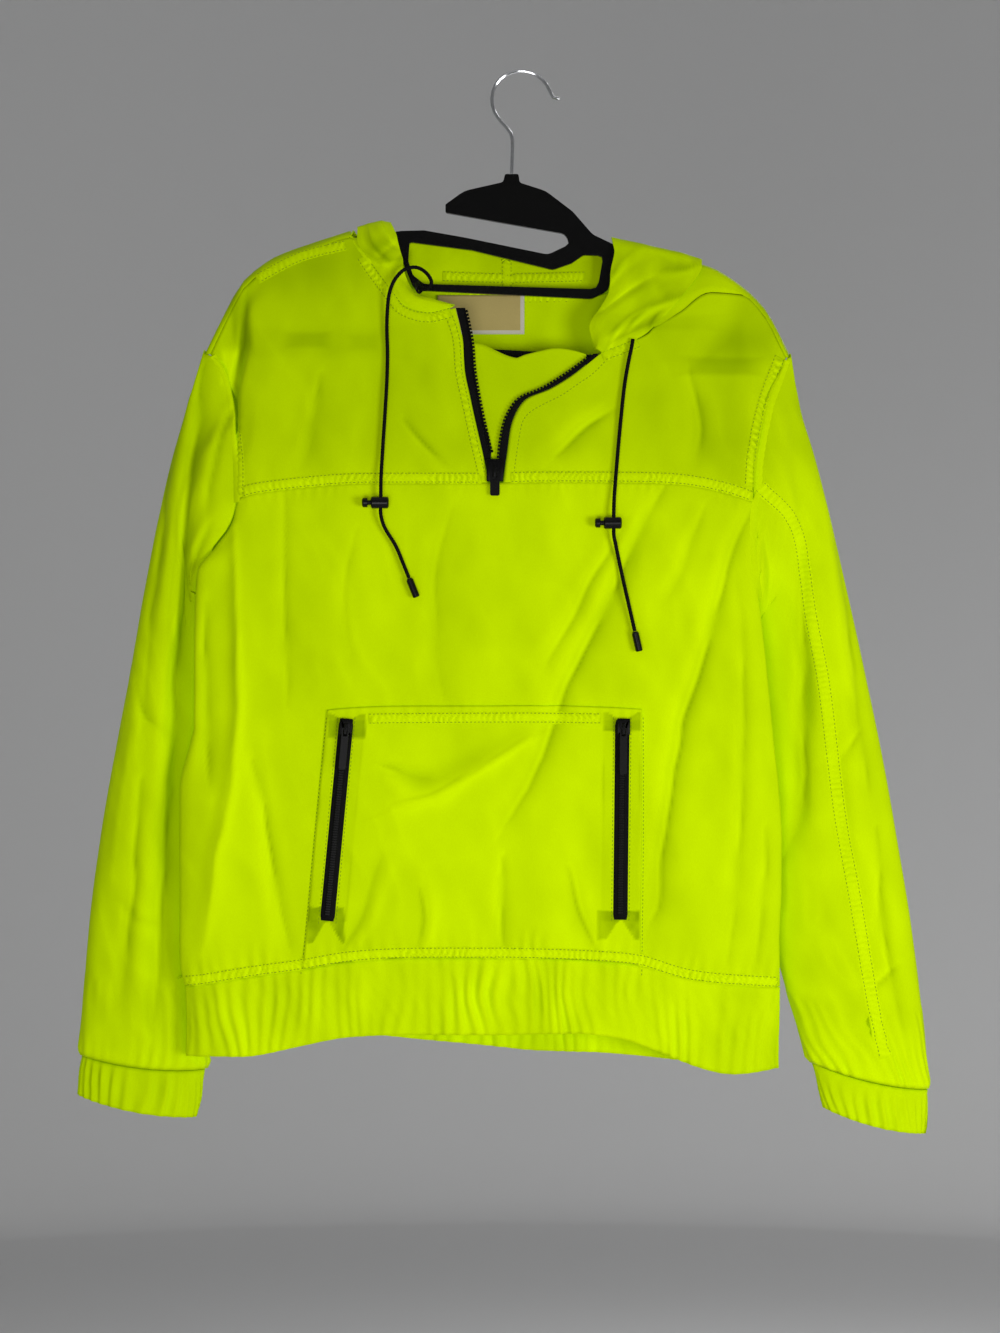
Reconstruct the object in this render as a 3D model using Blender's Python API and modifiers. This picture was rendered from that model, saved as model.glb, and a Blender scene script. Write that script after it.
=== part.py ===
"""Anorak pullover on a slim clothes hanger.

Millimetres are used in every table and turned into metres where a mesh is made.
X is the viewer's right, Z is up and the garment's front faces -Y. The origin is the
inner crown of the hanger's hook, where the whole thing hangs.
"""
import math

import bpy
import numpy as np
from mathutils import Matrix, Vector

MM = 0.001

# Cloth and seams
WALL = 1.5              # thickness of a cloth wall
SEAM = 0.18             # what each panel keeps back from its seam line
SIDE_SEAM = 0.3         # the same at the side seams, where the walls turn a corner
LIFT = 0.3              # what a laid-on piece keeps clear of the panel under it

# How the cloth falls from the hanger
CREST_HALF = 5.0        # half the thickness of the garment at the crest of the shoulder
CREST_RADIUS = 5.0      # drop over which the cloth rolls over the crest
FALL_FRONT = 52.0       # drop over which the front swells out
FALL_BACK = 60.0
ARMHOLE_TOP = -242.0    # level where the sides of the body begin
CREST_STEP = 2.0        # over which the crest's slope is taken
FOLD_START = 0.25       # share of a fold's depth at its ends
FOLD_FADE = 5.0         # how steeply a fold rises from its ends
TUCK_EDGE = 1.0         # how far past its line the yoke's tuck is half deep
TUCK_FADE = 5.0         # width over which it fades

# Hanger and hook
HANGER_THICKNESS = 5.0
HOOK_WIRE = 3.0
HOOK_POINTS = 27

# Drawcord
CORD = 3.2
CORD_STEP = 10.0        # spacing of the points along a cord's tube
CORD_END_DIAMETER = 6.0
CORD_END_LENGTH = 17.0
CORD_END_ROUND = 0.8
CORD_END_MOUTH = (1.6, 1.0)     # length and depth of its taper at the cord
LOCK_DIAMETER = 10.0
LOCK_LENGTH = 15.0
LOCK_ROUND = 1.2        # at its plain end
LOCK_MOUTH_ROUND = 1.0  # at the plunger's end
LOCK_BORE = 5.2         # depth of the plunger's bore
LOCK_HOLE = 4.0
LOCK_HOLE_SHIFT = 0.9   # from the lock's middle to the hole for the cord
PLUNGER_DIAMETER = 8.0
PLUNGER_LENGTH = 4.5
PLUNGER_TRAVEL = 2.5
PLUNGER_STEM = 4.0
PLUNGER_ROUND = 1.0
STEM_CLEAR = 0.4        # between the plunger's stem and its bore
EYELET_RADIUS = 4.6
EYELET_WIRE = 1.1
EYELET = {"x": -88.8, "z": -185.0, "out": 4.6, "axis": (0.86, -0.51, 0)}

# Gathers of the elastic bands
HEM_GATHERS = 46        # on the front, and as many on the back
CUFF_GATHERS = 26       # all round one cuff
HEM_GATHER_DEPTH = 1.9
CUFF_GATHER_DEPTH = 1.7
CUFF_FLATTEN = 2.2      # the cuff's gathers lean to its front and back by this factor
GATHER_CALM = 0.35      # most by which a gather is shallower than its neighbours
CALM_WAVES = 23.0       # how fast that changes along the band
GATHER_FADE = 0.03      # share of half the band over which the gathers fade at a side

# Pocket
POCKET_ZIP_WIDTH = 13.0
POCKET_ZIP_INSET = 9.0  # from the pocket's edge to its zip
ZIP_RAISE = 1.6         # thickness of a closed zip's tape


def table(names, *rows):
    """Return the rows as one array for each named column."""
    return dict(zip(names.split(), np.array(rows, float).T))


# The crest line of the shoulders, seen from the front
CREST = table(
    "x z",
    (-270, -235), (-249, -194), (-229, -166), (-189, -148), (-147, -134), (-106, -122),
    (-63, -112), (-20, -108), (20, -114), (50, -126), (78, -141), (107, -150.5),
    (127, -157), (143, -161.5), (154, -163.5), (165, -168.5), (178, -176.5), (192, -187),
    (207, -204), (224, -238))

# Left and right limits of the body: armhole seam down to the underarm, then the side seam.
# y is where the front panel meets its neighbour, back_y where the back panel does.
SIDE_LEFT = table(
    "z x y back_y",
    (-134, -146, 0, 0), (-166, -229, 0, 0), (-194, -249, 0, 0), (-235, -270, 0, 0),
    (-240, -266, -5, 4), (-246, -257, -8, 5), (-265, -249, -12, 8), (-295, -243, -15, 9),
    (-324, -242, -17, 9),
    (-363, -241, -18, 9), (-388, -249, -17, 4), (-410, -266, -14, -5), (-424, -276, -12, -11),
    (-448, -278, -12, -12), (-500, -278, -14, -14), (-552, -278, -15, -15),
    (-589, -288, -15, -15), (-618, -291, -15, -15), (-748, -291, -14, -14),
    (-775, -287, -13, -13), (-845, -286, -12, -12))
SIDE_RIGHT = table(
    "z x y back_y",
    (-134, 90, 0, 0), (-168, 165, 0, 0), (-187, 192, 0, 0), (-204, 207, 0, 0),
    (-238, 224, 0, 0), (-244, 221, -7, 5), (-265, 209, -12, 8), (-280, 202, -15, 9),
    (-312, 196, -17, 9), (-336, 192, -18, 9), (-366, 192, -18, 7), (-394, 191, -15, 0),
    (-424, 194, -9, -9), (-450, 198, -11, -11), (-488, 202, -14, -14), (-533, 207, -15, -15),
    (-568, 210, -15, -15), (-601, 214, -15, -15), (-669, 217, -15, -15),
    (-742, 215, -14, -14), (-771, 216, -13, -13), (-855, 216, -12, -12))

# How far the panels stand from the hanger's plane, and how square their sides are
BODY_DEPTH = table(
    "z front back roundness back_roundness",
    (-100, 20, 9, 8, 8), (-250, 24, 11, 8, 8), (-363, 29, 12, 8, 6),
    (-450, 31, 13, 4.2, 2.8), (-560, 32, 13, 3.6, 2.3), (-750, 31, 12, 3.4, 2.2),
    (-845, 27, 10, 3.4, 2.2))

# Cut lines across the garment
YOKE_SEAM = table(
    "x z",
    (-241, -363), (-229, -359), (-200, -355), (-158, -351), (-117, -350), (-34, -350),
    (18, -349), (119, -350), (165, -357), (193, -366))
HEM_SEAM = table(
    "x z",
    (-291, -773), (-272, -771), (-231, -764), (-189, -758), (-147, -751), (-97, -748),
    (-13, -748), (53, -750), (96, -754), (142, -767), (216, -774))
HEM_FRONT = table(
    "x z",
    (-290, -832), (-239, -832), (-189, -823), (-147, -815), (-90, -813), (-33, -813),
    (46, -812), (80, -816), (104, -824), (153, -843), (174, -847), (218, -842))
HEM_BACK = table(
    "x z",
    (-290, -833), (-239, -832), (-169, -822), (-130, -818), (-97, -821), (-33, -827),
    (6, -831), (65, -833), (104, -836), (139, -840), (174, -847), (218, -843))

# Upper edge of the back panel: how far it lies below the crest, < 0 on the front side,
# where it is also the shoulder seam of the yokes
BACK_TOP = table(
    "x q",
    (-270, -6), (-256, -12), (-238, -8.5), (-212, -7), (-180, -6), (-148, -6),
    (-145, 0), (-142, 4.6), (-130, 32), (-108, 54), (-80, 68), (-48, 77), (-13, 80.5),
    (22, 73), (54, 61), (78, 42), (92, 12), (96.5, 4.6), (99.5, 0), (102.5, -6),
    (109, -67), (132, -46), (158, -23), (184, -9), (204, -9), (216, -11), (224, -6))
# The yokes' neck seam from the shoulder to the zip
NECK_LEFT = table(
    "x z",
    (-143.5, -143), (-136, -154), (-129, -165), (-118, -180), (-109, -192), (-101, -201),
    (-81, -207), (-58, -202))
NECK_RIGHT = table(
    "x z",
    (104, -223.7), (98, -227), (91, -230), (84, -233), (77, -236), (70, -238.5), (63, -241))

# Half zip: outer and inner edge of each tape
TAPE_LEFT = table(
    "z outer inner",
    (-202, -58, -50), (-229, -52, -44.5), (-257, -50, -42), (-285, -44, -37),
    (-313, -38, -31), (-334, -33, -26), (-348, -30.5, -25))
TAPE_RIGHT = table(
    "z outer inner",
    (-241, 63, 58), (-250, 52, 46), (-260, 39, 32), (-268, 27, 20), (-275, 12, 4),
    (-282, -2, -8), (-294, -9, -15), (-306, -12, -18.5), (-334, -16, -22.5),
    (-348, -18, -23))
ZIP_GUARD = table(
    "x top bottom",
    (-46, -231, -257), (-40, -232, -283), (-33, -233, -313), (-24, -236, -334),
    (-12, -239.5, -313), (-7, -240, -300), (1, -238, -287), (29, -236, -273),
    (42, -238, -263), (52, -241, -253))

# Pocket edges at the height of each row, the zips follow them
POCKET = table(
    "z left right",
    (-349, -150, 97), (-542, -164, 98), (-640, -173, 98), (-736, -182, 97), (-775, -186, 97))
POCKET_TOP = 0.47       # fractions of the front panel's height
POCKET_ZIP_TOP = 0.495
POCKET_ZIP_BOTTOM = 0.905

# Sliders: an arch with an opening stands on each body, and the tab's bar lies in it
SLIDER_DEPTH = 2.6
SLIDER_ROUND = 0.8
SLIDER_PLACE = (0, 2.6, 1.5)
ARCH_SIZE = (2.6, 4.2, 9)
ARCH_PLACE = (0, -0.2, 0)
ARCH_HOLE_SIZE = (6, 2.5, 5.4)
ARCH_HOLE_PLACE = (0, 0.05, 0)
TAB_THICKNESS = 1.4
TAB_TOP = 0.7           # the tab reaches this far above its pivot
TAB_ROUND = 0.8         # its upper corners
TAB_FOOT_ROUND = 1.6
TAB_WINDOW = table("x z r", (-1.75, -0.7, 0.2), (1.75, -0.7, 0.2), (1.75, -6.2, 0.4),
                   (-1.75, -6.2, 0.4))

# Main folds as soft troughs (depth > 0) or ridges (depth < 0) along a bent line
FRONT_FOLDS = table(
    "x0 z0 x1 z1 x2 z2 width depth",
    (196, -362, 150, -507, 99, -746, 8, 5.0),
    (116, -354, 52, -489, -14, -633, 9, 3.6),
    (78, -286, 55, -306, 27, -329, 7, 2.6),
    (-199, -357, -197, -450, -200, -540, 8, 2.6),
    (-228, -584, -212, -650, -197, -735, 8, 2.6),
    (-245, -386, -240, -560, -262, -746, 9, -3.6),
    (-262, -440, -264, -520, -266, -610, 8, 3.4),
    (5, -567, -73, -610, -112, -624, 8, -2.6),
    (-114, -594, -97, -590, -79, -594, 10, 2.2),
    (-17, -655, -18, -700, -16, -746, 7, 2.2),
    (186, -226, 188, -290, 185, -350, 6, -2.4),
    (150, -520, 160, -620, 150, -745, 9, -2.4),
    (-118, -240, -128, -290, -140, -345, 9, 2.0),
    (60, -640, 40, -700, 46, -745, 8, 2.0))
BACK_FOLDS = table(
    "x0 z0 x1 z1 x2 z2 width depth",
    (-236, -362, -190, -500, -150, -700, 9, 4.0),
    (180, -362, 140, -500, 118, -720, 9, 4.0),
    (-90, -450, -80, -600, -96, -745, 10, 2.6),
    (60, -470, 52, -620, 70, -745, 10, 2.6),
    (-20, -560, -10, -660, -22, -745, 9, -2.2),
    (-215, -560, -222, -660, -205, -745, 9, -2.6))
SLEEVE_FOLDS = {
    "left": table(
        "x0 z0 x1 z1 x2 z2 width depth",
        (-271, -245, -276, -297, -284, -370, 6, 4.0),
        (-284, -370, -292, -482, -300, -582, 7, 5.0),
        (-300, -582, -306, -686, -314, -805, 8, 4.0),
        (-322, -480, -336, -600, -352, -700, 9, -2.6),
        (-346, -690, -345, -750, -352, -815, 8, 3.0)),
    "right": table(
        "x0 z0 x1 z1 x2 z2 width depth",
        (222, -300, 236, -370, 239, -420, 8, 3.0),
        (268, -500, 284, -610, 296, -700, 9, -2.6),
        (252, -560, 268, -680, 286, -800, 8, 3.4),
        (290, -700, 306, -770, 316, -840, 8, 3.4))}

# The yoke folds back beside the left end of the hanger
TUCK_LEFT = table(
    "z x depth",
    (-150, -229, 0), (-172, -230, 2), (-200, -235, 9), (-231, -237, 12), (-278, -241, 10),
    (-303, -241, 6), (-330, -238, 2), (-350, -237, 0))
# The inner side of each sleeve lies deeper than its front
SLEEVE_TUCK = {
    "left": table("z x depth", (-440, -291, 0), (-480, -293, 4), (-582, -299, 6),
                  (-640, -303, 4), (-700, -300, 0)),
    "right": table("z x depth", (-380, 236, 0), (-414, 238, 6), (-516, 239, 9),
                   (-600, 239, 7), (-671, 222, 4), (-720, 215, 0))}

# Sleeve sections from armhole to cuff seam: outer and inner end, half depths and middle
SLEEVES = {
    "left": table(
        "t ox oz ix iz front back y",
        (0.00, -270, -235, -276, -424, 12, 9, -2),
        (0.10, -285, -283, -283, -439, 14, 10, 2),
        (0.20, -300, -334, -282, -457, 16, 12, 7),
        (0.35, -318, -416, -276, -494, 18, 12, 12),
        (0.50, -333, -500, -275, -548, 19, 11, 13),
        (0.65, -350, -590, -280, -622, 19, 11, 14),
        (0.80, -365, -680, -280, -702, 18, 10, 15),
        (0.90, -373, -755, -275, -772, 17, 10, 15),
        (1.00, -378, -835, -272, -847, 15, 10, 14)),
    "right": table(
        "t ox oz ix iz front back y",
        (0.00, 224, -238, 194, -424, 12, 9, -2),
        (0.10, 233, -283, 201, -441, 14, 10, 2),
        (0.20, 248, -333, 203, -459, 16, 12, 7),
        (0.35, 269, -418, 200, -494, 18, 12, 12),
        (0.50, 288, -503, 203, -548, 19, 11, 13),
        (0.65, 307, -595, 206, -622, 18, 12, 13),
        (0.80, 323, -690, 210, -708, 17, 12, 12),
        (0.90, 334, -765, 223, -774, 17, 12, 9),
        (1.00, 343, -863, 244, -840, 15, 12, 6))}
SLEEVE_ROWS = (0, 0.025, 0.06, 0.11, 0.18, 0.27, 0.38, 0.5, 0.62, 0.74, 0.85, 0.94, 1)
# How much of the armhole's curve is left along the sleeve
ARMHOLE_BOW = table("t share", (0, 1), (0.025, 0.7), (0.06, 0.36), (0.11, 0.1), (0.18, 0))

# Cuff sections from cuff seam to edge
CUFFS = {
    "left": table(
        "t ox oz ix iz front back y",
        (0, -378, -835.6, -272, -847.6, 14, 10, 14),
        (0.5, -380, -852, -275, -869, 15, 11, 13),
        (1, -381, -869, -280, -888, 14, 11, 12)),
    "right": table(
        "t ox oz ix iz front back y",
        (0, 343, -863.6, 244, -840.6, 14, 11, 6),
        (0.5, 343, -884, 249, -860, 15, 12, 6),
        (1, 341, -901, 254, -879, 14, 11, 6))}
CUFF_SAG = 4.0
CUFF_ROWS = ((0, 0.3), (0.45, 1), (1, 0.75))    # height and share of the gathers' depth
SLEEVE_POWER = 2.3      # squareness of a sleeve's section, 2 is an ellipse
CUFF_POWER = 2.0
RING_START = 0.12       # angle at which a sleeve's columns begin, from its outer end
ARMHOLE_BLEND = 0.26    # share of the sleeve over which its section leaves the armhole's
SLEEVE_FOLD_START = 12.0        # how steeply the folds begin at the armhole
BACK_FOLD_SHARE = 0.6   # how deep a front fold is on the sleeve's back
SLEEVE_TUCK_FADE = 7.0

# Hood stations from the zip round to the centre of the back: s where the hood joins the
# neck, t the crest it falls over, l the foot of the pouch behind the back and e the face
# opening. `pouch` is 0 for a flat collar and 1 for the full pouch, `behind` is 0 in front
# of the hanger and 1 behind it, `out` is how far the seam edge stands off the body.
HOODS = {
    "left": table(
        "pouch behind out sx sz tx tz lx lz ex ez",
        (0, 0, 1.9, -60, -201.6, -60, -200.6, -59, -199.8, -58.5, -199),
        (0, 0, 1.9, -81, -206.5, -81, -202, -80, -197, -79, -193),
        (0, 0, 1.9, -101, -200.5, -98, -198, -94, -194, -90, -190),
        (0, 0, 1.9, -118, -179.5, -113, -177, -107, -173, -101, -169),
        (0, 0, 2.2, -136, -153.5, -126, -153, -114, -153, -104, -154),
        (0, 0, 2.6, -142, -144, -131, -136, -118, -134, -108, -138),
        (0, 0.5, 0, -142.5, -130, -133, -127, -122, -124.5, -113, -126),
        (0, 1, 2, -139.5, -140.5, -130, -131, -124, -131, -112, -133),
        (1, 1, 2, -133, -152, -123, -128, -150, -185, -111, -140),
        (1, 1, 1, -121, -169, -110, -134, -163, -245, -108, -152),
        (1, 1, 0.2, -103, -177, -95, -141, -158, -310, -98, -168),
        (1, 1, 0.2, -74, -184, -68, -147, -128, -375, -74, -184),
        (1, 1, 0.2, -43, -187, -40, -151, -70, -419, -42, -194),
        (1, 1, 0.2, -13.4, -188, -13.4, -152, -13.4, -432, -13.4, -198)),
    "right": table(
        "pouch behind out sx sz tx tz lx lz ex ez",
        (0, 0, 1.9, 65, -239.6, 63, -238.5, 61, -237.5, 59.5, -236.5),
        (0, 0, 1.9, 84, -232.3, 75, -222, 64, -217, 54, -218),
        (0, 0, 1.9, 97, -226.8, 87, -207, 74, -201, 62, -204),
        (0, 0, 2, 114, -212, 104, -185, 88, -180, 71, -187),
        (0, 0, 2.4, 133, -191, 123, -168, 98, -163, 73, -168),
        (0, 0, 3, 146, -174, 134, -161, 106, -154, 76, -152),
        (0, 0, 3.8, 150, -166.5, 138, -157.5, 107, -150, 75, -146),
        (0, 0.5, 0, 151, -157.5, 139, -153.5, 108, -146, 74, -138.5),
        (0, 1, 3.4, 148, -166.5, 137, -156, 112, -151, 76, -143),
        (1, 1, 2.6, 132, -176, 120, -149.5, 150, -195, 76, -146),
        (1, 1, 2.6, 112, -180, 100, -148, 156, -250, 74, -156),
        (1, 1, 2.2, 86, -175, 80, -148, 147, -310, 68, -168),
        (1, 1, 0.2, 56, -187, 52, -149, 112, -376, 48, -184),
        (1, 1, 0.2, 22, -188, 20, -151, 52, -418, 20, -194),
        (1, 1, 0.2, -12.6, -188, -12.6, -152, -12.6, -432, -12.6, -198))}
HOOD_ROWS = 12
HOOD_CLEAR = 4.0        # the hood keeps this far from the hanger's plane on either side
HOOD_SEAM_END = 80.0    # to the right of this its seam edge leaves the back's edge
# How far its points stand off the body, from the seam edge's neighbour to the face opening
POUCH_OUT = (0.8, 5.5, 2.6, 2.2, 8.2, 14.6, 15.8, 14.6)
SIDE_OUT = (3.0, 4.2, 4.6, 5.0, 5.8, 7.0, 8.0, 8.0)
COLLAR_OUT = (2.8, 3.8, 4.4, 4.6, 4.2, 3.4, 2.6, 1.9)

LABEL = {"left": -74.0, "right": 0.0, "top": -188.0, "bottom": -221.0, "thickness": 0.8}
LABEL_ROWS = 3
LABEL_COLUMNS = 5

# Cord routes in x, z and how far the cord's middle stands in front of the front panel
CORD_LEFT = table(
    "x z out",
    (-88.4, -187.1, 4.7), (-82.5, -186.8, 7.4), (-79.5, -184.6, 9.5), (-78.2, -181, 11),
    (-81.5, -175, 12), (-87, -170.5, 12), (-93, -168.8, 11.5), (-100.5, -170.3, 10.5),
    (-106.5, -175.5, 9.5), (-111, -182.5, 8.5), (-114, -192, 7), (-115.3, -204, 5.5),
    (-115.8, -220, 4.2), (-115.2, -243, 3.5), (-116, -270, 3.5), (-119, -322, 4),
    (-120.2, -345, 6.4), (-120.3, -357, 7.5), (-120.3, -367, 7.5), (-120.3, -377, 7.5),
    (-117, -388, 6.5),
    (-108, -403, 5), (-102, -417, 4.8), (-96.8, -430, 4.8))
CORD_RIGHT = table(
    "x z out",
    (91, -229, 4.2), (89.8, -236, 4.8), (87, -249, 4.4), (83.5, -270, 3.8),
    (80, -303, 3.5), (77, -336, 4), (75, -360, 6), (74.4, -374, 7.5), (74.4, -384, 7.5),
    (74.4, -394, 7.5),
    (76.2, -403, 6), (79, -416, 5), (82.5, -432, 4.8), (86, -448, 4.8), (92, -474.5, 4.8))
LOCKS = {"left": {"x": -121.2, "z": -367.0, "out": 7.5},
         "right": {"x": 73.5, "z": -384.0, "out": 7.5}}

# Sliders and pull tabs: pivot of the tab, how far the zip leans, size of the tab
PULLS = {
    "neck": {"x": -25.0, "z": -341.0, "lean": 0.0, "tab": 20.0, "tab_width": 8.0,
             "body": (14.0, 19.0), "out": 4.5},
    "pocket_left": {"x": -149.6, "z": -556.0, "lean": 5.0, "tab": 34.0, "tab_width": 6.0,
                    "body": (11.0, 14.0), "out": 7.9},
    "pocket_right": {"x": 82.5, "z": -556.0, "lean": 0.5, "tab": 38.0, "tab_width": 6.0,
                     "body": (11.0, 14.0), "out": 7.9}}

# Hanger outlines as corners with a fillet radius, clockwise or not does not matter
HANGER_OUTER = table(
    "x z r",
    (-67, -112, 1.5), (-51, -100.5, 22), (-18, -93, 3), (-16.5, -86.2, 1.5),
    (-5, -86.2, 1.5), (-4, -93.5, 3), (18, -100.5, 24), (41, -118, 20), (58, -137.5, 12),
    (78, -147, 10), (102, -156, 20), (145, -165.5, 30), (186, -188.5, 20), (210, -219, 20),
    (216, -244, 9), (205, -258.6, 9), (-224, -235, 8), (-241, -222, 10),
    (-241, -197, 16), (-228, -172.5, 16), (-186, -152.5, 30), (-147, -139.5, 20),
    (-104, -134.5, 4), (-85, -134, 10), (-51, -140, 20), (20, -154.5, 9),
    (39, -145.5, 6), (34, -137, 6), (-67, -119, 1.5))
HANGER_LOOP = table(
    "x z r",
    (-97.5, -144, 2), (-44, -151, 20), (24, -167.5, 8), (40, -162, 8), (50, -155, 5),
    (67, -155.5, 4), (62, -184, 7), (-85, -179.5, 5), (-94.5, -172, 6), (-98.5, -160, 4))
HANGER_WINDOW = table(
    "x z r",
    (-229, -213, 6), (-222, -183, 12), (-150, -152, 18), (-112, -149.5, 6),
    (-103.5, -160, 6), (-99, -171, 6), (-93.5, -184.7, 7), (57, -192.2, 9),
    (72, -185, 9), (73.5, -162, 6), (90, -164, 8), (158, -190, 20), (190, -214, 16),
    (203, -236, 6), (196, -247.3, 5), (-226, -223.8, 5))
HOOK_ROUTE = table(
    "x z",
    (-10.8, -85.8), (-10.5, -76), (-10.2, -66), (-10.2, -57), (-12.2, -50), (-18, -43.3),
    (-23.6, -36.4), (-27, -28.5), (-27.4, -19.5), (-24.6, -10.5), (-18.4, -3.4),
    (-9.8, 0.8), (0, 1.5), (9, -1), (15.6, -6), (20.2, -12.3), (23, -18.6),
    (26, -22), (29.6, -22.2))

COLOURS = {
    "cloth": ((0.52, 0.80, 0.01, 1), 0.62, 0.0),
    "cloth_inside": ((0.40, 0.62, 0.01, 1), 0.66, 0.0),
    "zip": ((0.012, 0.012, 0.013, 1), 0.42, 0.0),
    "zip_metal": ((0.03, 0.03, 0.032, 1), 0.3, 0.8),
    "cord": ((0.015, 0.015, 0.016, 1), 0.8, 0.0),
    "plastic": ((0.02, 0.02, 0.022, 1), 0.35, 0.0),
    "label": ((0.45, 0.36, 0.2, 1), 0.7, 0.0),
    "hook": ((0.75, 0.75, 0.77, 1), 0.18, 1.0)}


def clear_scene():
    for obj in list(bpy.data.objects):
        bpy.data.objects.remove(obj, do_unlink=True)


def new_collection(name, hidden=False):
    coll = bpy.data.collections.new(name)
    bpy.context.scene.collection.children.link(coll)
    coll.hide_render = hidden
    return coll


def principled(name):
    """One Principled material for each object, in the finish that its name gives."""
    colour, roughness, metallic = COLOURS[name]
    material = bpy.data.materials.new(name)
    material.use_nodes = True
    shader = material.node_tree.nodes["Principled BSDF"]
    shader.inputs["Base Color"].default_value = colour
    shader.inputs["Roughness"].default_value = roughness
    shader.inputs["Metallic"].default_value = metallic
    material.diffuse_color = colour
    return material


# Lines and tables

PATH_STEPS = 12         # points between two rows of a smooth path
LENGTH_STEPS = 400      # points on which its length is taken


def slopes(x, y):
    """Slopes at the rows of a table that never overshoot between two rows."""
    step = np.diff(y) / np.diff(x)
    slope = np.zeros(len(y))
    slope[0] = step[0]
    slope[-1] = step[-1]
    before = step[:-1]
    after = step[1:]
    same = before * after > 0
    mean = np.where(same, 2 * before * after / np.where(same, before + after, 1), 0)
    slope[1:-1] = mean
    return slope


def read(x, columns, key, value):
    """Read a table's column smoothly at x, held level past both ends."""
    xs = columns[key]
    ys = columns[value]
    if xs[0] > xs[-1]:
        xs = xs[::-1]
        ys = ys[::-1]
    slope = slopes(xs, ys)
    x = np.clip(x, xs[0], xs[-1])
    i = np.clip(np.searchsorted(xs, x) - 1, 0, len(xs) - 2)
    width = xs[i + 1] - xs[i]
    f = (x - xs[i]) / width
    rise = f * f * (3 - 2 * f)
    lead = f * (1 - f) ** 2 * slope[i] * width
    trail = f * f * (1 - f) * slope[i + 1] * width
    return ys[i] + (ys[i + 1] - ys[i]) * rise + lead - trail


def smooth_path(points, fractions):
    """Points at the given fractions of a smooth curve's length through `points`."""
    points = np.asarray(points, float)
    ends = np.vstack([2 * points[0] - points[1], points, 2 * points[-1] - points[-2]])
    fine = []
    for i in range(len(points) - 1):
        a, b, c, d = ends[i:i + 4]
        for f in np.linspace(0, 1, PATH_STEPS, endpoint=False):
            fine.append(0.5 * (2 * b + (c - a) * f + (2 * a - 5 * b + 4 * c - d) * f ** 2
                               + (3 * b - a - 3 * c + d) * f ** 3))
    fine.append(points[-1])
    fine = np.array(fine)
    run = np.concatenate([[0], np.cumsum(np.linalg.norm(np.diff(fine, axis=0), axis=1))])
    at = np.asarray(fractions) * run[-1]
    return np.stack([np.interp(at, run, fine[:, k]) for k in range(fine.shape[1])], -1)


def path_length(points):
    fine = smooth_path(points, np.linspace(0, 1, LENGTH_STEPS))
    return float(np.linalg.norm(np.diff(fine, axis=0), axis=1).sum())


def smooth_step(value):
    value = np.clip(value, 0, 1)
    return value * value * (3 - 2 * value)


# Surfaces of the hanging cloth: y for a place (x, z) seen from the front


def fold_depth(x, z, folds):
    """Sum of the troughs and ridges that run along bent lines."""
    total = np.zeros(np.broadcast(x, z).shape)
    for row in zip(*[folds[k] for k in "x0 z0 x1 z1 x2 z2 width depth".split()]):
        x0, z0, x1, z1, x2, z2, width, depth = row
        best = np.full(total.shape, 1e9)
        along = np.zeros(total.shape)
        for part, (ax, az, bx, bz) in enumerate(((x0, z0, x1, z1), (x1, z1, x2, z2))):
            run = (bx - ax) ** 2 + (bz - az) ** 2
            f = np.clip(((x - ax) * (bx - ax) + (z - az) * (bz - az)) / run, 0, 1)
            gap = np.hypot(x - ax - f * (bx - ax), z - az - f * (bz - az))
            along = np.where(gap < best, (part + f) / 2, along)
            best = np.minimum(gap, best)
        fade = smooth_step(np.minimum(along, 1 - along) * FOLD_FADE + FOLD_START)
        total = total + depth * fade * np.exp(-(best / width) ** 2)
    return total


def drop_below_crest(x, z):
    """Distance below the crest line, square to it."""
    crest = read(x, CREST, "x", "z")
    rise = read(x + CREST_STEP, CREST, "x", "z") - read(x - CREST_STEP, CREST, "x", "z")
    slope = rise / (2 * CREST_STEP)
    return np.maximum(crest - z, 0) / np.sqrt(1 + slope ** 2)


def rolled(drop, depth, fall):
    """Distance from the hanger's plane after rolling over the crest and falling."""
    turn = 1 - np.minimum(drop / CREST_RADIUS, 1)
    roll = CREST_HALF * np.sqrt(1 - turn ** 2)
    swell = 1 - np.exp(-np.maximum(drop - CREST_RADIUS, 0) / fall)
    return roll + (depth - CREST_HALF) * swell


def side_share(x, z, roundness):
    """1 over the face of the body, falling to 0 at its left and right limits."""
    z = np.minimum(z, ARMHOLE_TOP)
    left = read(z, SIDE_LEFT, "z", "x")
    right = read(z, SIDE_RIGHT, "z", "x")
    half = (right - left) / 2
    s = 1 - np.minimum(x - left, right - x) / half
    power = read(z, BODY_DEPTH, "z", roundness)
    return (1 - np.clip(s, 0, 1) ** power) ** (1 / power)


def edge_y(x, z, column):
    z = np.minimum(z, ARMHOLE_TOP)
    left = read(z, SIDE_LEFT, "z", "x")
    right = read(z, SIDE_RIGHT, "z", "x")
    near_left = x - left < right - x
    return np.where(near_left, read(z, SIDE_LEFT, "z", column),
                    read(z, SIDE_RIGHT, "z", column))


def front_y(x, z):
    """Outer surface of the front."""
    face = -rolled(drop_below_crest(x, z), read(z, BODY_DEPTH, "z", "front"), FALL_FRONT)
    share = side_share(x, z, "roundness")
    tuck = read(z, TUCK_LEFT, "z", "depth")
    tuck = tuck * smooth_step((read(z, TUCK_LEFT, "z", "x") + TUCK_EDGE - x) / TUCK_FADE)
    face = np.minimum(face + tuck, np.maximum(face, -CREST_HALF))
    face = face + fold_depth(x, z, FRONT_FOLDS) * share
    edge = np.maximum(edge_y(x, z, "y"), face)
    return edge + (face - edge) * share - SIDE_SEAM * (1 - share)


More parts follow.
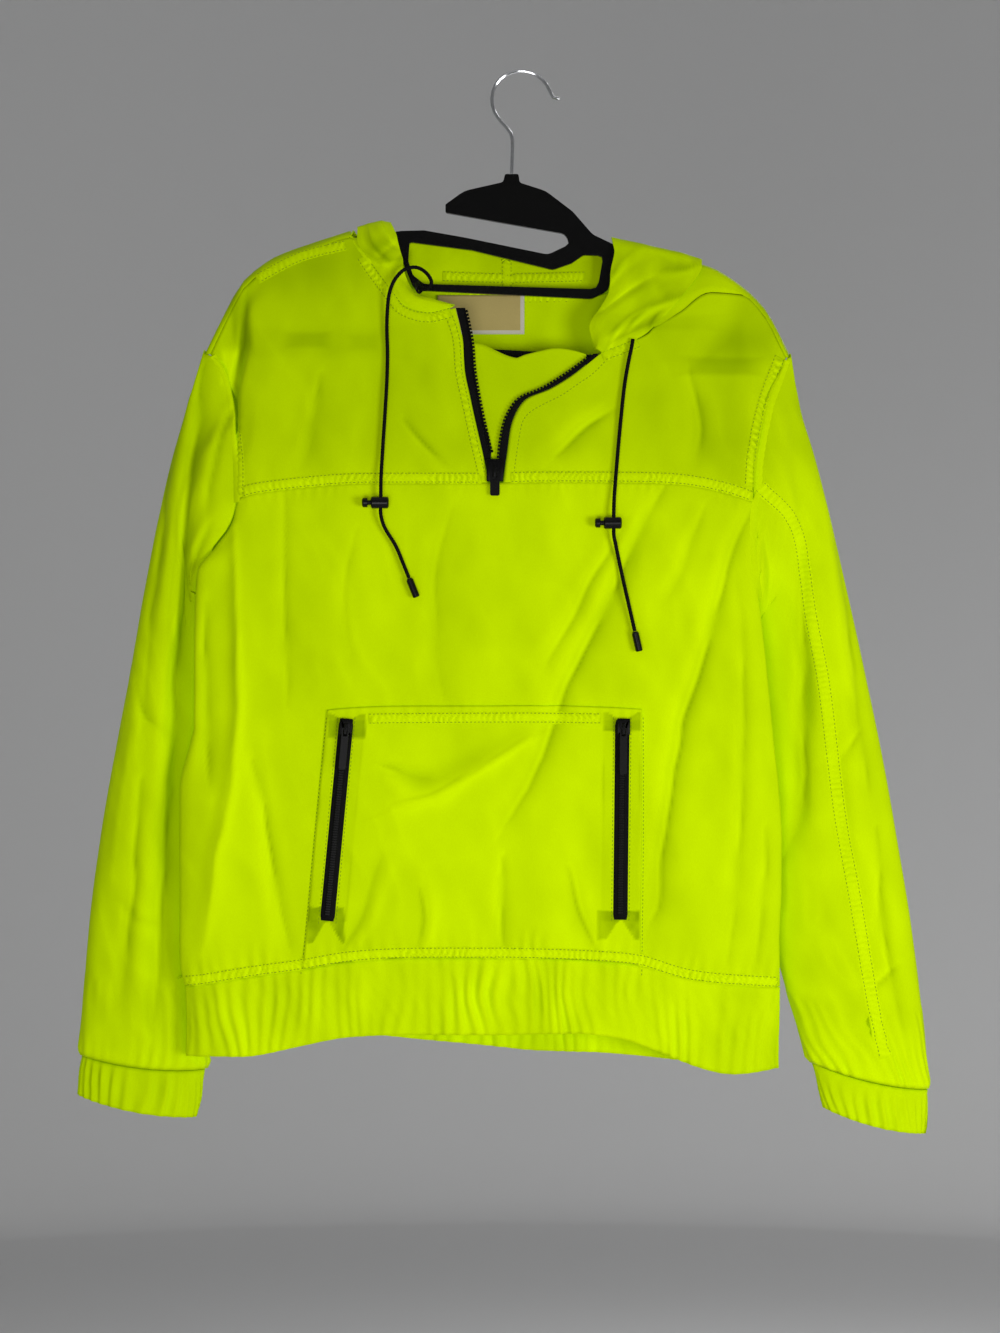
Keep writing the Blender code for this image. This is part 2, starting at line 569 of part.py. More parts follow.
def back_y(x, z):
    """Outer surface of the back."""
    face = rolled(drop_below_crest(x, z), read(z, BODY_DEPTH, "z", "back"), FALL_BACK)
    share = side_share(x, z, "back_roundness")
    face = face - fold_depth(x, z, BACK_FOLDS) * share
    edge = np.minimum(edge_y(x, z, "back_y"), face)
    return edge + (face - edge) * share + SIDE_SEAM * (1 - share)


# Making objects


def link(obj, finish, coll):
    coll.objects.link(obj)
    obj.data.materials.clear()
    obj.data.materials.append(principled(finish))
    return obj


def smooth(mesh, angle=40):
    mesh.shade_smooth()
    mesh.set_sharp_from_angle(angle=math.radians(angle))


def sheet(name, grid, finish, coll, outward, wall=WALL, ring=False):
    """A cloth wall on a grid of outer points (rows, columns, 3) in millimetres.

    `outward` is a direction that the face in the middle of the grid must look along.
    A ring's last column joins its first.
    """
    rows, columns, _ = grid.shape
    verts = [tuple(p) for p in (grid.reshape(-1, 3) * MM)]
    last = columns if ring else columns - 1
    faces = []
    for r in range(rows - 1):
        for c in range(last):
            d = (c + 1) % columns
            faces.append((r * columns + c, r * columns + d,
                          (r + 1) * columns + d, (r + 1) * columns + c))
    r = (rows - 1) // 2
    c = (last - 1) // 2
    across = grid[r, (c + 1) % columns] - grid[r, c]
    along = grid[r + 1, c] - grid[r, c]
    if np.dot(np.cross(across, along), outward) < 0:
        faces = [f[::-1] for f in faces]
    mesh = bpy.data.meshes.new(name)
    mesh.from_pydata(verts, [], faces)
    smooth(mesh)
    obj = link(bpy.data.objects.new(name, mesh), finish, coll)
    solid = obj.modifiers.new("wall", "SOLIDIFY")
    solid.thickness = wall * MM
    solid.offset = -1
    solid.use_rim = True
    return obj


MOST_FILLET = 0.48      # share of an edge that one rounded corner may take
STRAIGHT = 1.5          # half angle above which a corner is left as it is


def filleted(corners, steps=2):
    """Corner points with rounded corners, as a closed outline."""
    points = np.stack([corners["x"], corners["z"]], -1)
    outline = []
    for i, corner in enumerate(points):
        to_last = points[i - 1] - corner
        to_next = points[(i + 1) % len(points)] - corner
        a = to_last / np.linalg.norm(to_last)
        b = to_next / np.linalg.norm(to_next)
        half = math.acos(np.clip(np.dot(a, b), -1, 1)) / 2
        reach = min(corners["r"][i] / math.tan(half), MOST_FILLET * np.linalg.norm(to_last),
                    MOST_FILLET * np.linalg.norm(to_next))
        if half > STRAIGHT:
            outline.append(corner)
            continue
        start = corner + a * reach
        end = corner + b * reach
        for f in np.linspace(0, 1, steps + 1):
            outline.append((1 - f) ** 2 * start + 2 * f * (1 - f) * corner + f * f * end)
    return np.array(outline)


def plate(name, outlines, thickness, finish, coll):
    """A flat plate in the XZ plane from closed outlines, the first one the outer."""
    curve = bpy.data.curves.new(name, "CURVE")
    curve.dimensions = "2D"
    curve.fill_mode = "BOTH"
    curve.extrude = thickness / 2 * MM
    for outline in outlines:
        spline = curve.splines.new("POLY")
        spline.points.add(len(outline) - 1)
        for point, (x, z) in zip(spline.points, outline):
            point.co = (x * MM, z * MM, 0, 1)
        spline.use_cyclic_u = True
    obj = link(bpy.data.objects.new(name, curve), finish, coll)
    obj.rotation_euler = (math.pi / 2, 0, 0)
    return obj


def tube(name, points, diameter, finish, coll, resolution=2):
    """A round tube along points in millimetres, with closed ends."""
    curve = bpy.data.curves.new(name, "CURVE")
    curve.dimensions = "3D"
    curve.bevel_depth = diameter / 2 * MM
    curve.bevel_resolution = resolution
    curve.use_fill_caps = True
    spline = curve.splines.new("POLY")
    spline.points.add(len(points) - 1)
    for point, place in zip(spline.points, points):
        point.co = (*(np.asarray(place) * MM), 1)
    return link(bpy.data.objects.new(name, curve), finish, coll)


def turned(name, profile, finish, coll, steps=12):
    """A solid turned about its own X axis from rows of (x, radius) in millimetres."""
    verts = [(r * MM, 0, x * MM) for x, r in profile]
    edges = [(i, i + 1) for i in range(len(profile) - 1)]
    mesh = bpy.data.meshes.new(name)
    mesh.from_pydata(verts, edges, [])
    obj = link(bpy.data.objects.new(name, mesh), finish, coll)
    screw = obj.modifiers.new("turn", "SCREW")
    screw.axis = "Z"
    screw.steps = steps
    screw.render_steps = steps
    screw.use_merge_vertices = True
    screw.merge_threshold = 1e-5
    screw.use_normal_calculate = True
    return obj


def box(name, size, place, coll, bevel=0.0):
    """A box whose size, place and edge rounding are in millimetres."""
    bpy.ops.mesh.primitive_cube_add(size=1, location=(0, 0, 0))
    obj = bpy.context.active_object
    obj.name = name
    keep_in(obj, coll)
    obj.data.transform(Matrix.Diagonal((*[s * MM for s in size], 1)))
    obj.data.transform(Matrix.Translation([p * MM for p in place]))
    if bevel:
        rounding = obj.modifiers.new("rounding", "BEVEL")
        rounding.width = bevel * MM
        rounding.segments = 2
    return obj


def keep_in(obj, coll):
    """Move an object that an operator made into its collection."""
    for old in list(obj.users_collection):
        old.objects.unlink(obj)
    coll.objects.link(obj)


def boolean(obj, cutter, operation):
    step = obj.modifiers.new(operation.lower(), "BOOLEAN")
    step.operation = operation
    step.solver = "EXACT"
    step.object = cutter
    cutter.hide_render = True
    cutter.display_type = "WIRE"
    return step


# Cloth panels

YOKE_ROWS = np.array([0, 0.03, 0.1, 0.21, 0.35, 0.51, 0.68, 0.84, 1])
BODY_ROWS = np.array([0, 0.05, 0.1, 0.149, 0.24, 0.35, POCKET_TOP, POCKET_ZIP_TOP,
                      0.6, 0.7, 0.805, POCKET_ZIP_BOTTOM, 0.955, 1])
BODY_TOP = -363.0       # level of the yoke seam at the sides
BODY_FOOT = -773.0      # level of the hem seam at the sides
BODY_LENGTH = 400.0
YOKE_ENDS = {"left": (-240.0, -363.0), "right": (-243.0, -366.0)}  # its armhole edge
YOKE_EDGE_FADE = 40.0   # how steeply the side edges take over from the top and the foot
ZIP_NEAR = 4.0          # a column nearer to the zip than this is left out of the yoke
UNDERARM_ROW = 3
UNDERARM_TOP = -380.0
UNDERARM_FADE = 20.0
UNDERARM_EASE = 1.0     # the sleeve's seam runs this much wider round the underarm
ARMHOLE_CLEAR = 2.6     # seam gaps between the panels and the sleeve
NECK_START = 7.0        # at the neck the back's last rows start this far below its edge
NECK_EASE = 7.0         # and its lower rows bow down by this much
CREST_START = 2.5       # over the shoulders they start this far below the crest
ARMHOLE_REACH = 6       # how sharply a row turns up to the armhole at its ends
# Last rows of the back: how far up to the neck's edge each lies, and over the shoulders
# its share of the edge's drop and its own drop before the crest
OVER_CREST = table("up share drop", (0.3, 0, 0), (0.55, 0, 2.8), (0.8, 0.4, 1.7), (1, 1, 0))
BAND_SIDE = np.array([-1, -0.9985, -0.992])     # columns at the band's side seam
BAND_GATHERED = 0.98    # share of the band that is gathered
BAND_ROWS = ((0, 0.45), (0.42, 1), (1, 0.8))    # height and share of the gathers' depth
BAND_HEIGHT = 60.0
GUARD_ROWS = (0, 0.33, 0.66, 1)
GUARD_GAP = 1.0         # between the yokes and the guard behind them
EDGE_COLUMNS = np.array([0, 0.0012, 0.01, 0.045, 0.14, 0.36, 0.68])
MIDDLE_COLUMNS = 9


def seam_inset(rows, length):
    """Row fractions with both ends kept back from their seam lines."""
    inset = SEAM / length
    return np.clip(rows, inset, 1 - inset)


def body_columns(z):
    """x of each column at the height z: side block, pocket block, side block."""
    left = read(z, SIDE_LEFT, "z", "x")
    right = read(z, SIDE_RIGHT, "z", "x")
    pocket_left = read(z, POCKET, "z", "left")
    pocket_right = read(z, POCKET, "z", "right")
    zip_near = POCKET_ZIP_INSET
    zip_far = POCKET_ZIP_INSET + POCKET_ZIP_WIDTH
    inner_left = pocket_left + zip_far
    inner_right = pocket_right - zip_far
    middle = [inner_left + f * (inner_right - inner_left) for f in np.linspace(0, 1, MIDDLE_COLUMNS)]
    columns = [left + f * (pocket_left - left) for f in EDGE_COLUMNS]
    columns += [pocket_left, pocket_left + zip_near]
    columns += middle
    columns += [pocket_right - zip_near, pocket_right]
    columns += [right - f * (right - pocket_right) for f in EDGE_COLUMNS[::-1]]
    return columns


POCKET_FIRST = len(EDGE_COLUMNS)        # the column on the pocket's left edge
POCKET_LAST = POCKET_FIRST + MIDDLE_COLUMNS + 3     # and on its right edge


def body_grid(surface):
    """Points of the body between yoke seam and hem seam on one of the surfaces."""
    rows = []
    for v in seam_inset(BODY_ROWS, BODY_LENGTH):
        level = BODY_TOP + v * (BODY_FOOT - BODY_TOP)
        x = np.array(body_columns(level))
        top = read(x, YOKE_SEAM, "x", "z")
        z = top + v * (read(x, HEM_SEAM, "x", "z") - top)
        rows.append(np.stack([x, surface(x, z), z], -1))
    return np.array(rows)


def yoke_edge(side, v):
    """Armhole edge of a yoke at the fractions v of its height."""
    limit = SIDE_LEFT if side == "left" else SIDE_RIGHT
    start, end = YOKE_ENDS[side]
    z = start + v * (end - start)
    return np.stack([read(z, limit, "z", "x"), z], -1)


def zip_edges(side, v):
    """Outer and inner edge of a neck zip tape at the fractions v of their length."""
    tape = TAPE_LEFT if side == "left" else TAPE_RIGHT
    lines = []
    for edge in ("outer", "inner"):
        lines.append(smooth_path(np.stack([tape[edge], tape["z"]], -1), v))
    return lines


def yoke_top(side):
    """Upper edge of a yoke from the armhole: shoulder seam, then neck seam."""
    x, q = BACK_TOP["x"], BACK_TOP["q"]
    shoulder = (q < 0) & (x < 0 if side == "left" else x > NECK_RIGHT["x"][0])
    x, q = x[shoulder], q[shoulder]
    z = read(x, CREST, "x", "z") + q - SEAM
    neck = NECK_LEFT
    if side == "right":
        neck = NECK_RIGHT
        x, z = x[::-1], z[::-1]
    return np.concatenate([x, neck["x"]]), np.concatenate([z, neck["z"]])


def yoke_foot(side):
    """Lower edge of a yoke on the front body's own columns, ending at the zip."""
    seam = body_grid(front_y)[0]
    zip_x = zip_edges(side, 1)[0][0]
    if side == "left":
        x = np.append(seam[seam[:, 0] < zip_x - ZIP_NEAR, 0], zip_x)
    else:
        x = np.append(seam[seam[:, 0] > zip_x + ZIP_NEAR, 0][::-1], zip_x)
    return x, np.interp(x, seam[:, 0], seam[:, 2]) + 2 * SEAM


def yoke_grid(side):
    """A front yoke as a patch between armhole, shoulder and neck seam, zip and yoke seam."""
    v = YOKE_ROWS[:, None]
    top_x, top_z = yoke_top(side)
    foot_x, foot_z = yoke_foot(side)
    top_x[0], top_z[0] = yoke_edge(side, np.zeros(1))[0]
    u = np.linspace(0, 1, len(top_x))[None, :]
    arm = yoke_edge(side, YOKE_ROWS)
    zip_line = zip_edges(side, YOKE_ROWS)[0]
    zip_line[-1, 1] = foot_z[-1]
    x = (1 - v) * top_x + v * foot_x
    z = (1 - v) * top_z + v * foot_z
    near_arm = (1 - u) ** 2
    near_zip = u ** 3
    shift_x = near_arm * (arm[:, :1] - x[:, :1]) + near_zip * (zip_line[:, :1] - x[:, -1:])
    shift_z = near_arm * (arm[:, 1:] - z[:, :1]) + near_zip * (zip_line[:, 1:] - z[:, -1:])
    inner = smooth_step(np.minimum(v, 1 - v) * YOKE_EDGE_FADE)
    x = x + shift_x
    z = z + shift_z * inner
    x[:, -1] -= SEAM if side == "left" else -SEAM
    z[:, -1] -= 0 if side == "left" else SEAM
    return np.stack([x, front_y(x, z), z], -1)


def back_grid():
    """The back from hem seam to yoke level, then up and over the crest to its seam."""
    lower = body_grid(back_y)[::-1]
    top_x = BACK_TOP["x"]
    end_q = BACK_TOP["q"]
    start_q = np.maximum(end_q + NECK_START, CREST_START)
    level_x = lower[-1, :, 0]
    level_q = read(level_x, CREST, "x", "z") - lower[-1, :, 2]
    across = np.linspace(-1, 1, len(top_x))
    upper = []
    for f in 1 - YOKE_ROWS[-2::-1]:
        x = level_x + (top_x - level_x) * f
        q = level_q + (start_q + NECK_EASE * (1 - f) - level_q) * f
        for end, side, share in ((0, "left", -across), (-1, "right", across)):
            arm_x, arm_z = yoke_edge(side, np.array([1 - f]))[0]
            weight = np.clip(share, 0, 1) ** ARMHOLE_REACH
            arm_q = read(arm_x, CREST, "x", "z") - arm_z
            x = x + weight * (arm_x - x[end])
            q = q + weight * (arm_q - q[end])
        upper.append((x, q))
    for f, share, drop in zip(OVER_CREST["up"], OVER_CREST["share"], OVER_CREST["drop"]):
        over_q = end_q * share - drop
        upper.append((top_x + 0, np.where(end_q < 0, over_q, start_q + (end_q - start_q) * f)))
    rows = []
    for x, q in upper:
        z = read(x, CREST, "x", "z") - np.abs(q)
        y = np.where(q >= 0, back_y(x, z), front_y(x, z))
        rows.append(np.stack([x, y, z], -1))
    grid = np.concatenate([lower, np.array(rows)])
    for end, side in ((0, "left"), (-1, "right")):
        x, z = yoke_edge(side, np.zeros(1))[0]
        grid[-1, end] = (x, front_y(x, z), z)
    grid[-1, :, 2] += np.where(end_q < 0, 3 * SEAM, -SEAM)
    return grid


def band_grid(surface, bottom, phase):
    """One half of the hem band, with its gathers as an even zigzag."""
    inner = np.linspace(-BAND_GATHERED, BAND_GATHERED, 2 * HEM_GATHERS + 1)
    s = np.concatenate([BAND_SIDE, inner, -BAND_SIDE[::-1]])
    wave = np.where(np.arange(len(s)) % 2 == phase, 1.0, -1.0)
    calm = 1 - GATHER_CALM * np.sin(s * CALM_WAVES) ** 2
    seam = body_grid(surface)[-1]
    rows = []
    for v, share in BAND_ROWS:
        level = BODY_FOOT - BAND_HEIGHT * v
        left = read(level, SIDE_LEFT, "z", "x")
        right = read(level, SIDE_RIGHT, "z", "x")
        x = left + (s + 1) / 2 * (right - left)
        top = np.interp(x, seam[:, 0], seam[:, 2]) - 2 * SEAM
        z = top + v * (read(x, bottom, "x", "z") - top)
        taper = smooth_step((1 - np.abs(s)) / GATHER_FADE)
        y = surface(x, z) + HEM_GATHER_DEPTH * share * wave * calm * taper
        rows.append(np.stack([x, y, z], -1))
    return np.array(rows)


def armhole_ring(side, yoke, front, back):
    """The armhole's closed ring along the panels' own edges, kept clear of them."""
    column = 0 if side == "left" else -1
    down = np.concatenate([yoke[:, 0], front[1:UNDERARM_ROW + 1, column]])
    first = len(BODY_ROWS) - 1 - UNDERARM_ROW
    up = back[first + 1:-1, column]
    ring = np.concatenate([down, up])
    outward = -1 if side == "left" else 1
    ring[:, 0] += outward * SEAM
    for line in (slice(0, len(down)), slice(len(down), len(ring))):
        run = np.gradient(ring[line][:, [0, 2]], axis=0)
        run /= np.linalg.norm(run, axis=1)[:, None]
        normal = np.stack([-run[:, 1], run[:, 0]], -1)
        normal *= np.where(normal[:, :1] * outward < 0, -1, 1)
        below = smooth_step((UNDERARM_TOP - ring[line, 2]) / UNDERARM_FADE)
        clear = ARMHOLE_CLEAR * SEAM + UNDERARM_EASE * below
        ring[line, 0] += normal[:, 0] * clear
        ring[line, 2] += normal[:, 1] * clear
    return ring, len(down)


def superellipse(angles, front, back, middle, power):
    """Chord fraction and y of a flattened ring; angle 0 is the outer end."""
    along = np.sign(np.cos(angles)) * np.abs(np.cos(angles)) ** (2 / power)
    out = np.abs(np.sin(angles)) ** (2 / power)
    y = np.where(np.sin(angles) >= 0, middle - front * out, middle + back * out)
    return (1 - along) / 2, y


def section(rows, t):
    """All the columns of a sleeve or cuff table at t."""
    return {name: float(read(t, rows, "t", name)) for name in rows if name != "t"}


def place_on_chord(cut, along, bow, y):
    """Points on the chord from a section's outer to its inner end, bowed sideways."""
    chord = np.array([cut["ix"] - cut["ox"], cut["iz"] - cut["oz"]])
    side = np.array([-chord[1], chord[0]]) / np.linalg.norm(chord)
    x = cut["ox"] + chord[0] * along + side[0] * bow
    z = cut["oz"] + chord[1] * along + side[1] * bow
    return np.stack([x, y, z], -1)


def sleeve_folds(side, points):
    """Troughs on the front half, and shallower ones at the same places behind."""
    x, z = points[:, 0], points[:, 2]
    depth = fold_depth(x, z, SLEEVE_FOLDS[side])
    tuck = SLEEVE_TUCK[side]
    outward = -1 if side == "left" else 1
    line = read(z, tuck, "z", "x")
    inside = smooth_step((line - x) * outward / SLEEVE_TUCK_FADE + 0.5)
    return depth, read(z, tuck, "z", "depth") * inside


def sleeve_grid(side, panels):
    ring, half = armhole_ring(side, *panels)
    rows = SLEEVES[side]
    start = section(rows, 0)
    chord = np.array([start["ix"] - start["ox"], start["iz"] - start["oz"]])
    length = np.linalg.norm(chord)
    normal = np.array([-chord[1], chord[0]]) / length
    offset = ring[:, [0, 2]] - np.array([start["ox"], start["oz"]])
    along0 = offset @ chord / length ** 2
    bow0 = offset @ normal
    down = np.linspace(RING_START, math.pi, half)
    up = np.linspace(math.pi, 2 * math.pi + RING_START, len(ring) - half + 2)[1:-1]
    angles = np.concatenate([down, up])
    grid = []
    for t in SLEEVE_ROWS:
        cut = section(rows, t)
        along1, y1 = superellipse(angles, cut["front"], cut["back"], cut["y"], SLEEVE_POWER)
        blend = float(smooth_step(t / ARMHOLE_BLEND))
        along = along0 + (along1 - along0) * blend
        bow = bow0 * float(read(t, ARMHOLE_BOW, "t", "share"))
        y = ring[:, 1] + (y1 - ring[:, 1]) * blend
        points = place_on_chord(cut, along, bow, y)
        trough, tuck = sleeve_folds(side, points)
        front_share = np.sqrt(np.clip(np.sin(angles), 0, 1))
        back_share = np.sqrt(np.clip(-np.sin(angles), 0, 1))
        begun = min(1, t * SLEEVE_FOLD_START)
        points[:, 1] += (trough + tuck) * front_share * begun
        points[:, 1] -= BACK_FOLD_SHARE * trough * back_share * begun
        if t == 1:
            points += np.array([0, 0, SEAM])
            points[:, 2] -= CUFF_SAG * 4 * along * (1 - along)
        grid.append(points)
    return np.array(grid)


def cuff_grid(side):
    """Gathered ring from the cuff seam to the cuff's edge."""
    angles = np.linspace(0, 2 * math.pi, 2 * CUFF_GATHERS, endpoint=False)
    wave = np.where(np.arange(len(angles)) % 2 == 0, 1.0, -1.0)
    grid = []
    for t, share in CUFF_ROWS:
        cut = section(CUFFS[side], t)
        along, y = superellipse(angles, cut["front"], cut["back"], cut["y"], CUFF_POWER)
        points = place_on_chord(cut, along, 0, y)
        middle = place_on_chord(cut, 0.5, 0, cut["y"])
        out = points - middle
        out = out / np.linalg.norm(out, axis=1)[:, None]
        out[:, 1] *= CUFF_FLATTEN
        out = out / np.linalg.norm(out, axis=1)[:, None]
        points = points + out * (CUFF_GATHER_DEPTH * share * wave)[:, None]
        points[:, 2] -= CUFF_SAG * 4 * along * (1 - along)
        points[:, 2] -= SEAM if t == 0 else 0
        grid.append(points)
    return np.array(grid)


def hood_station(row):
    """Nine points of the hood at one station, from neck seam to face edge."""
    seam, top, low, edge = (np.array([row[a + "x"], row[a + "z"]]) for a in "stle")
    fall = low - top
    rise = edge - low
    seam_out = row["out"]
    if row["pouch"]:
        beside, crest, below, *rest = POUCH_OUT
        places = [seam, (seam + top) / 2, top, top + fall * 0.4, top + fall * 0.88, low,
                  low + rise * 0.12, low + rise * 0.6, edge]
        outs = (seam_out, max(seam_out, beside), seam_out / 2 + crest, seam_out + below, *rest)
    else:
        places = [seam, (seam + top) / 2, top, top + fall * 0.5, low,
                  low + rise * 0.33, low + rise * 0.6, low + rise * 0.85, edge]
        outs = (seam_out, *(SIDE_OUT if row["behind"] else COLLAR_OUT))
    points = []
    for (x, z), out in zip(places, outs):
        front = min(float(front_y(x, z)), -HOOD_CLEAR) - out
        behind = max(float(back_y(x, z)), HOOD_CLEAR) + out
        y = {0: front, 0.5: 0, 1: behind}[row["behind"]]
        points.append((x, y, z))
    return points


def hood_grid(side, neck):
    """One half of the hood; its seam at the back follows the edge of the back panel."""
    rows = HOODS[side]
    lines = []
    for i in range(len(rows["pouch"])):
        station = hood_station({k: rows[k][i] for k in rows})
        x, y, _ = station[0]
        if rows["pouch"][i] and x < HOOD_SEAM_END:
            station[0] = (x, y, np.interp(x, neck[:, 0], neck[:, 2]) + 3 * SEAM)
        lines.append(smooth_path(station, np.linspace(0, 1, HOOD_ROWS)))
    return np.array(lines)


def laid_on(grid, rows, columns, lift):
    """Part of a panel's grid, moved out to lie on that panel."""
    part = grid[rows[0]:rows[1] + 1, columns[0]:columns[1] + 1].copy()
    part[..., 1] -= lift
    return part


def tape_grid(side):
    """One tape of the open neck zip, inside its yoke's edge."""
    outer, inner = zip_edges(side, YOKE_ROWS)
    toward = 1 if side == "left" else -1
    outer = outer + np.array([toward * SEAM, 0 if side == "left" else SEAM])
    x = np.stack([outer[:, 0], (outer[:, 0] + inner[:, 0]) / 2, inner[:, 0]], -1)
    z = np.stack([outer[:, 1], (outer[:, 1] + inner[:, 1]) / 2, inner[:, 1]], -1)
    return np.stack([x, front_y(x, z), z], -1)


def guard_grid():
    x = ZIP_GUARD["x"]
    rows = []
    for v in GUARD_ROWS:
        z = ZIP_GUARD["top"] + v * (ZIP_GUARD["bottom"] - ZIP_GUARD["top"])
        rows.append(np.stack([x, front_y(x, z) + WALL + GUARD_GAP, z], -1))
    return np.array(rows)


def label_grid():
    x, z = np.meshgrid(np.linspace(LABEL["left"], LABEL["right"], LABEL_COLUMNS),
                       np.linspace(LABEL["top"], LABEL["bottom"], LABEL_ROWS))
    y = back_y(x, z) - WALL - LIFT - LABEL["thickness"]
    return np.stack([x, y, z], -1)


def make_cloth(coll):
    front = body_grid(front_y)
    back = back_grid()
    to_front = (0, -1, 0)
    to_back = (0, 1, 0)
    sheet("front_body", front, "cloth", coll, to_front)
    for side in ("left", "right"):
        yoke = yoke_grid(side)
        sheet("front_yoke_" + side, yoke, "cloth", coll, to_front)
        sleeve = sleeve_grid(side, (yoke, front, back))
        sheet("sleeve_" + side, sleeve, "cloth", coll, to_front, ring=True)
        sheet("cuff_" + side, cuff_grid(side), "cloth", coll, to_front, ring=True)
        sheet("neck_zip_tape_" + side, tape_grid(side), "zip", coll, to_front)
    sheet("back_body", back, "cloth", coll, to_back)
    sheet("hem_band_front", band_grid(front_y, HEM_FRONT, 0), "cloth", coll, to_front)
    sheet("hem_band_back", band_grid(back_y, HEM_BACK, 1), "cloth", coll, to_back)
    for side in ("left", "right"):
        sheet("hood_" + side, hood_grid(side, back[-1]), "cloth", coll, to_back)
    sheet("zip_guard", guard_grid(), "cloth_inside", coll, to_front)
    sheet("neck_label", label_grid(), "label", coll, to_front, LABEL["thickness"])
    top = int(np.argmin(np.abs(BODY_ROWS - POCKET_TOP)))
    zips = (int(np.argmin(np.abs(BODY_ROWS - POCKET_ZIP_TOP))),
            int(np.argmin(np.abs(BODY_ROWS - POCKET_ZIP_BOTTOM))))
    lift = WALL + LIFT
    pocket = laid_on(front, (top, len(BODY_ROWS) - 1), (POCKET_FIRST, POCKET_LAST), lift)
    sheet("pocket_panel", pocket, "cloth", coll, to_front)
    for side, first in (("left", POCKET_FIRST + 1), ("right", POCKET_LAST - 2)):
        zip_grid = laid_on(front, zips, (first, first + 1), lift + ZIP_RAISE + LIFT)
        sheet("pocket_zip_" + side, zip_grid, "zip", coll, to_front, ZIP_RAISE)


# Zip sliders and their pull tabs


def make_slider(name, spec, coll, cutters):
    """Slider body with the arch that carries its pull tab."""
    width, height = spec["body"]
    body = box(name + "_slider", (width, SLIDER_DEPTH, height), SLIDER_PLACE, coll,
               SLIDER_ROUND)
    body.data.materials.append(principled("zip_metal"))
    arch = box(name + "_arch", ARCH_SIZE, ARCH_PLACE, cutters)
    hole = box(name + "_arch_hole", ARCH_HOLE_SIZE, ARCH_HOLE_PLACE, cutters)
    boolean(arch, hole, "DIFFERENCE")
    boolean(body, arch, "UNION")
    return body, (arch, hole)


def make_pull(name, spec, coll):
    """Pull tab: a flat plate whose window leaves a bar, the pivot, under the arch."""
    half = spec["tab_width"] / 2
    length = spec["tab"]
    outer = table("x z r", (-half, TAB_TOP, TAB_ROUND), (half, TAB_TOP, TAB_ROUND),
                  (half, -length, TAB_FOOT_ROUND), (-half, -length, TAB_FOOT_ROUND))
    return plate(name + "_pull", [filleted(outer), filleted(TAB_WINDOW, 1)], TAB_THICKNESS,
                 "zip_metal", coll)


def make_zip_fittings(coll, cutters):
    for name, spec in PULLS.items():
        x, z = spec["x"], spec["z"]
        y = float(front_y(x, z)) - spec["out"]
        lean = Matrix.Rotation(math.radians(spec["lean"]), 4, "Y")
        place = Matrix.Translation(Vector((x, y, z)) * MM) @ lean
        body, helpers = make_slider(name, spec, coll, cutters)
        for obj in (body, *helpers):
            obj.matrix_world = place
        pull = make_pull(name, spec, coll)
        pull.matrix_world = place @ Matrix.Rotation(math.pi / 2, 4, "X")


# Drawcords


def cord_points(rows):
    """Smooth route of a cord at even steps."""
    y = [float(front_y(x, z)) - out for x, z, out in zip(rows["x"], rows["z"], rows["out"])]
    route = np.stack([rows["x"], y, rows["z"]], -1)
    steps = max(6, round(path_length(route) / CORD_STEP))
    return smooth_path(route, np.linspace(0, 1, steps + 1))


def make_lock(side, coll, cutters):
    """Cord lock: a barrel across the cord, with the bore for its spring plunger."""
    spec = LOCKS[side]
    y = float(front_y(spec["x"], spec["z"])) - spec["out"]
    place = Vector((spec["x"], y, spec["z"])) * MM
    radius = LOCK_DIAMETER / 2
    half = LOCK_LENGTH / 2
    stem = PLUNGER_STEM / 2
    bore = stem + STEM_CLEAR
    profile = [(half, 0), (half, radius - LOCK_ROUND), (half - LOCK_ROUND, radius),
               (-half + LOCK_MOUTH_ROUND, radius), (-half, radius - LOCK_MOUTH_ROUND),
               (-half, bore), (-half + LOCK_BORE, bore), (-half + LOCK_BORE, 0)]
    barrel = turned("cord_lock_" + side, profile, "plastic", coll)
    turn = Matrix.Rotation(math.pi / 2, 4, "Y")
    barrel.matrix_world = Matrix.Translation(place) @ turn
    bpy.ops.mesh.primitive_cylinder_add(vertices=16, radius=LOCK_HOLE / 2 * MM,
                                        depth=4 * radius * MM, location=(0, 0, 0))
    hole = bpy.context.active_object
    hole.name = "cord_lock_hole_" + side
    keep_in(hole, cutters)
    hole.matrix_world = Matrix.Translation(place + Vector((LOCK_HOLE_SHIFT * MM, 0, 0)))
    boolean(barrel, hole, "DIFFERENCE")
    out = -half - PLUNGER_TRAVEL - LIFT
    knob = PLUNGER_DIAMETER / 2
    inner_end = LOCK_BORE - half - PLUNGER_TRAVEL - LIFT
    outer_end = out - PLUNGER_LENGTH
    plug = [(inner_end, 0), (inner_end, stem), (out, stem), (out, knob),
            (outer_end + PLUNGER_ROUND, knob), (outer_end, knob - PLUNGER_ROUND),
            (outer_end, 0)]
    plunger = turned("cord_plunger_" + side, plug, "plastic", coll)
    plunger.matrix_world = Matrix.Translation(place) @ turn


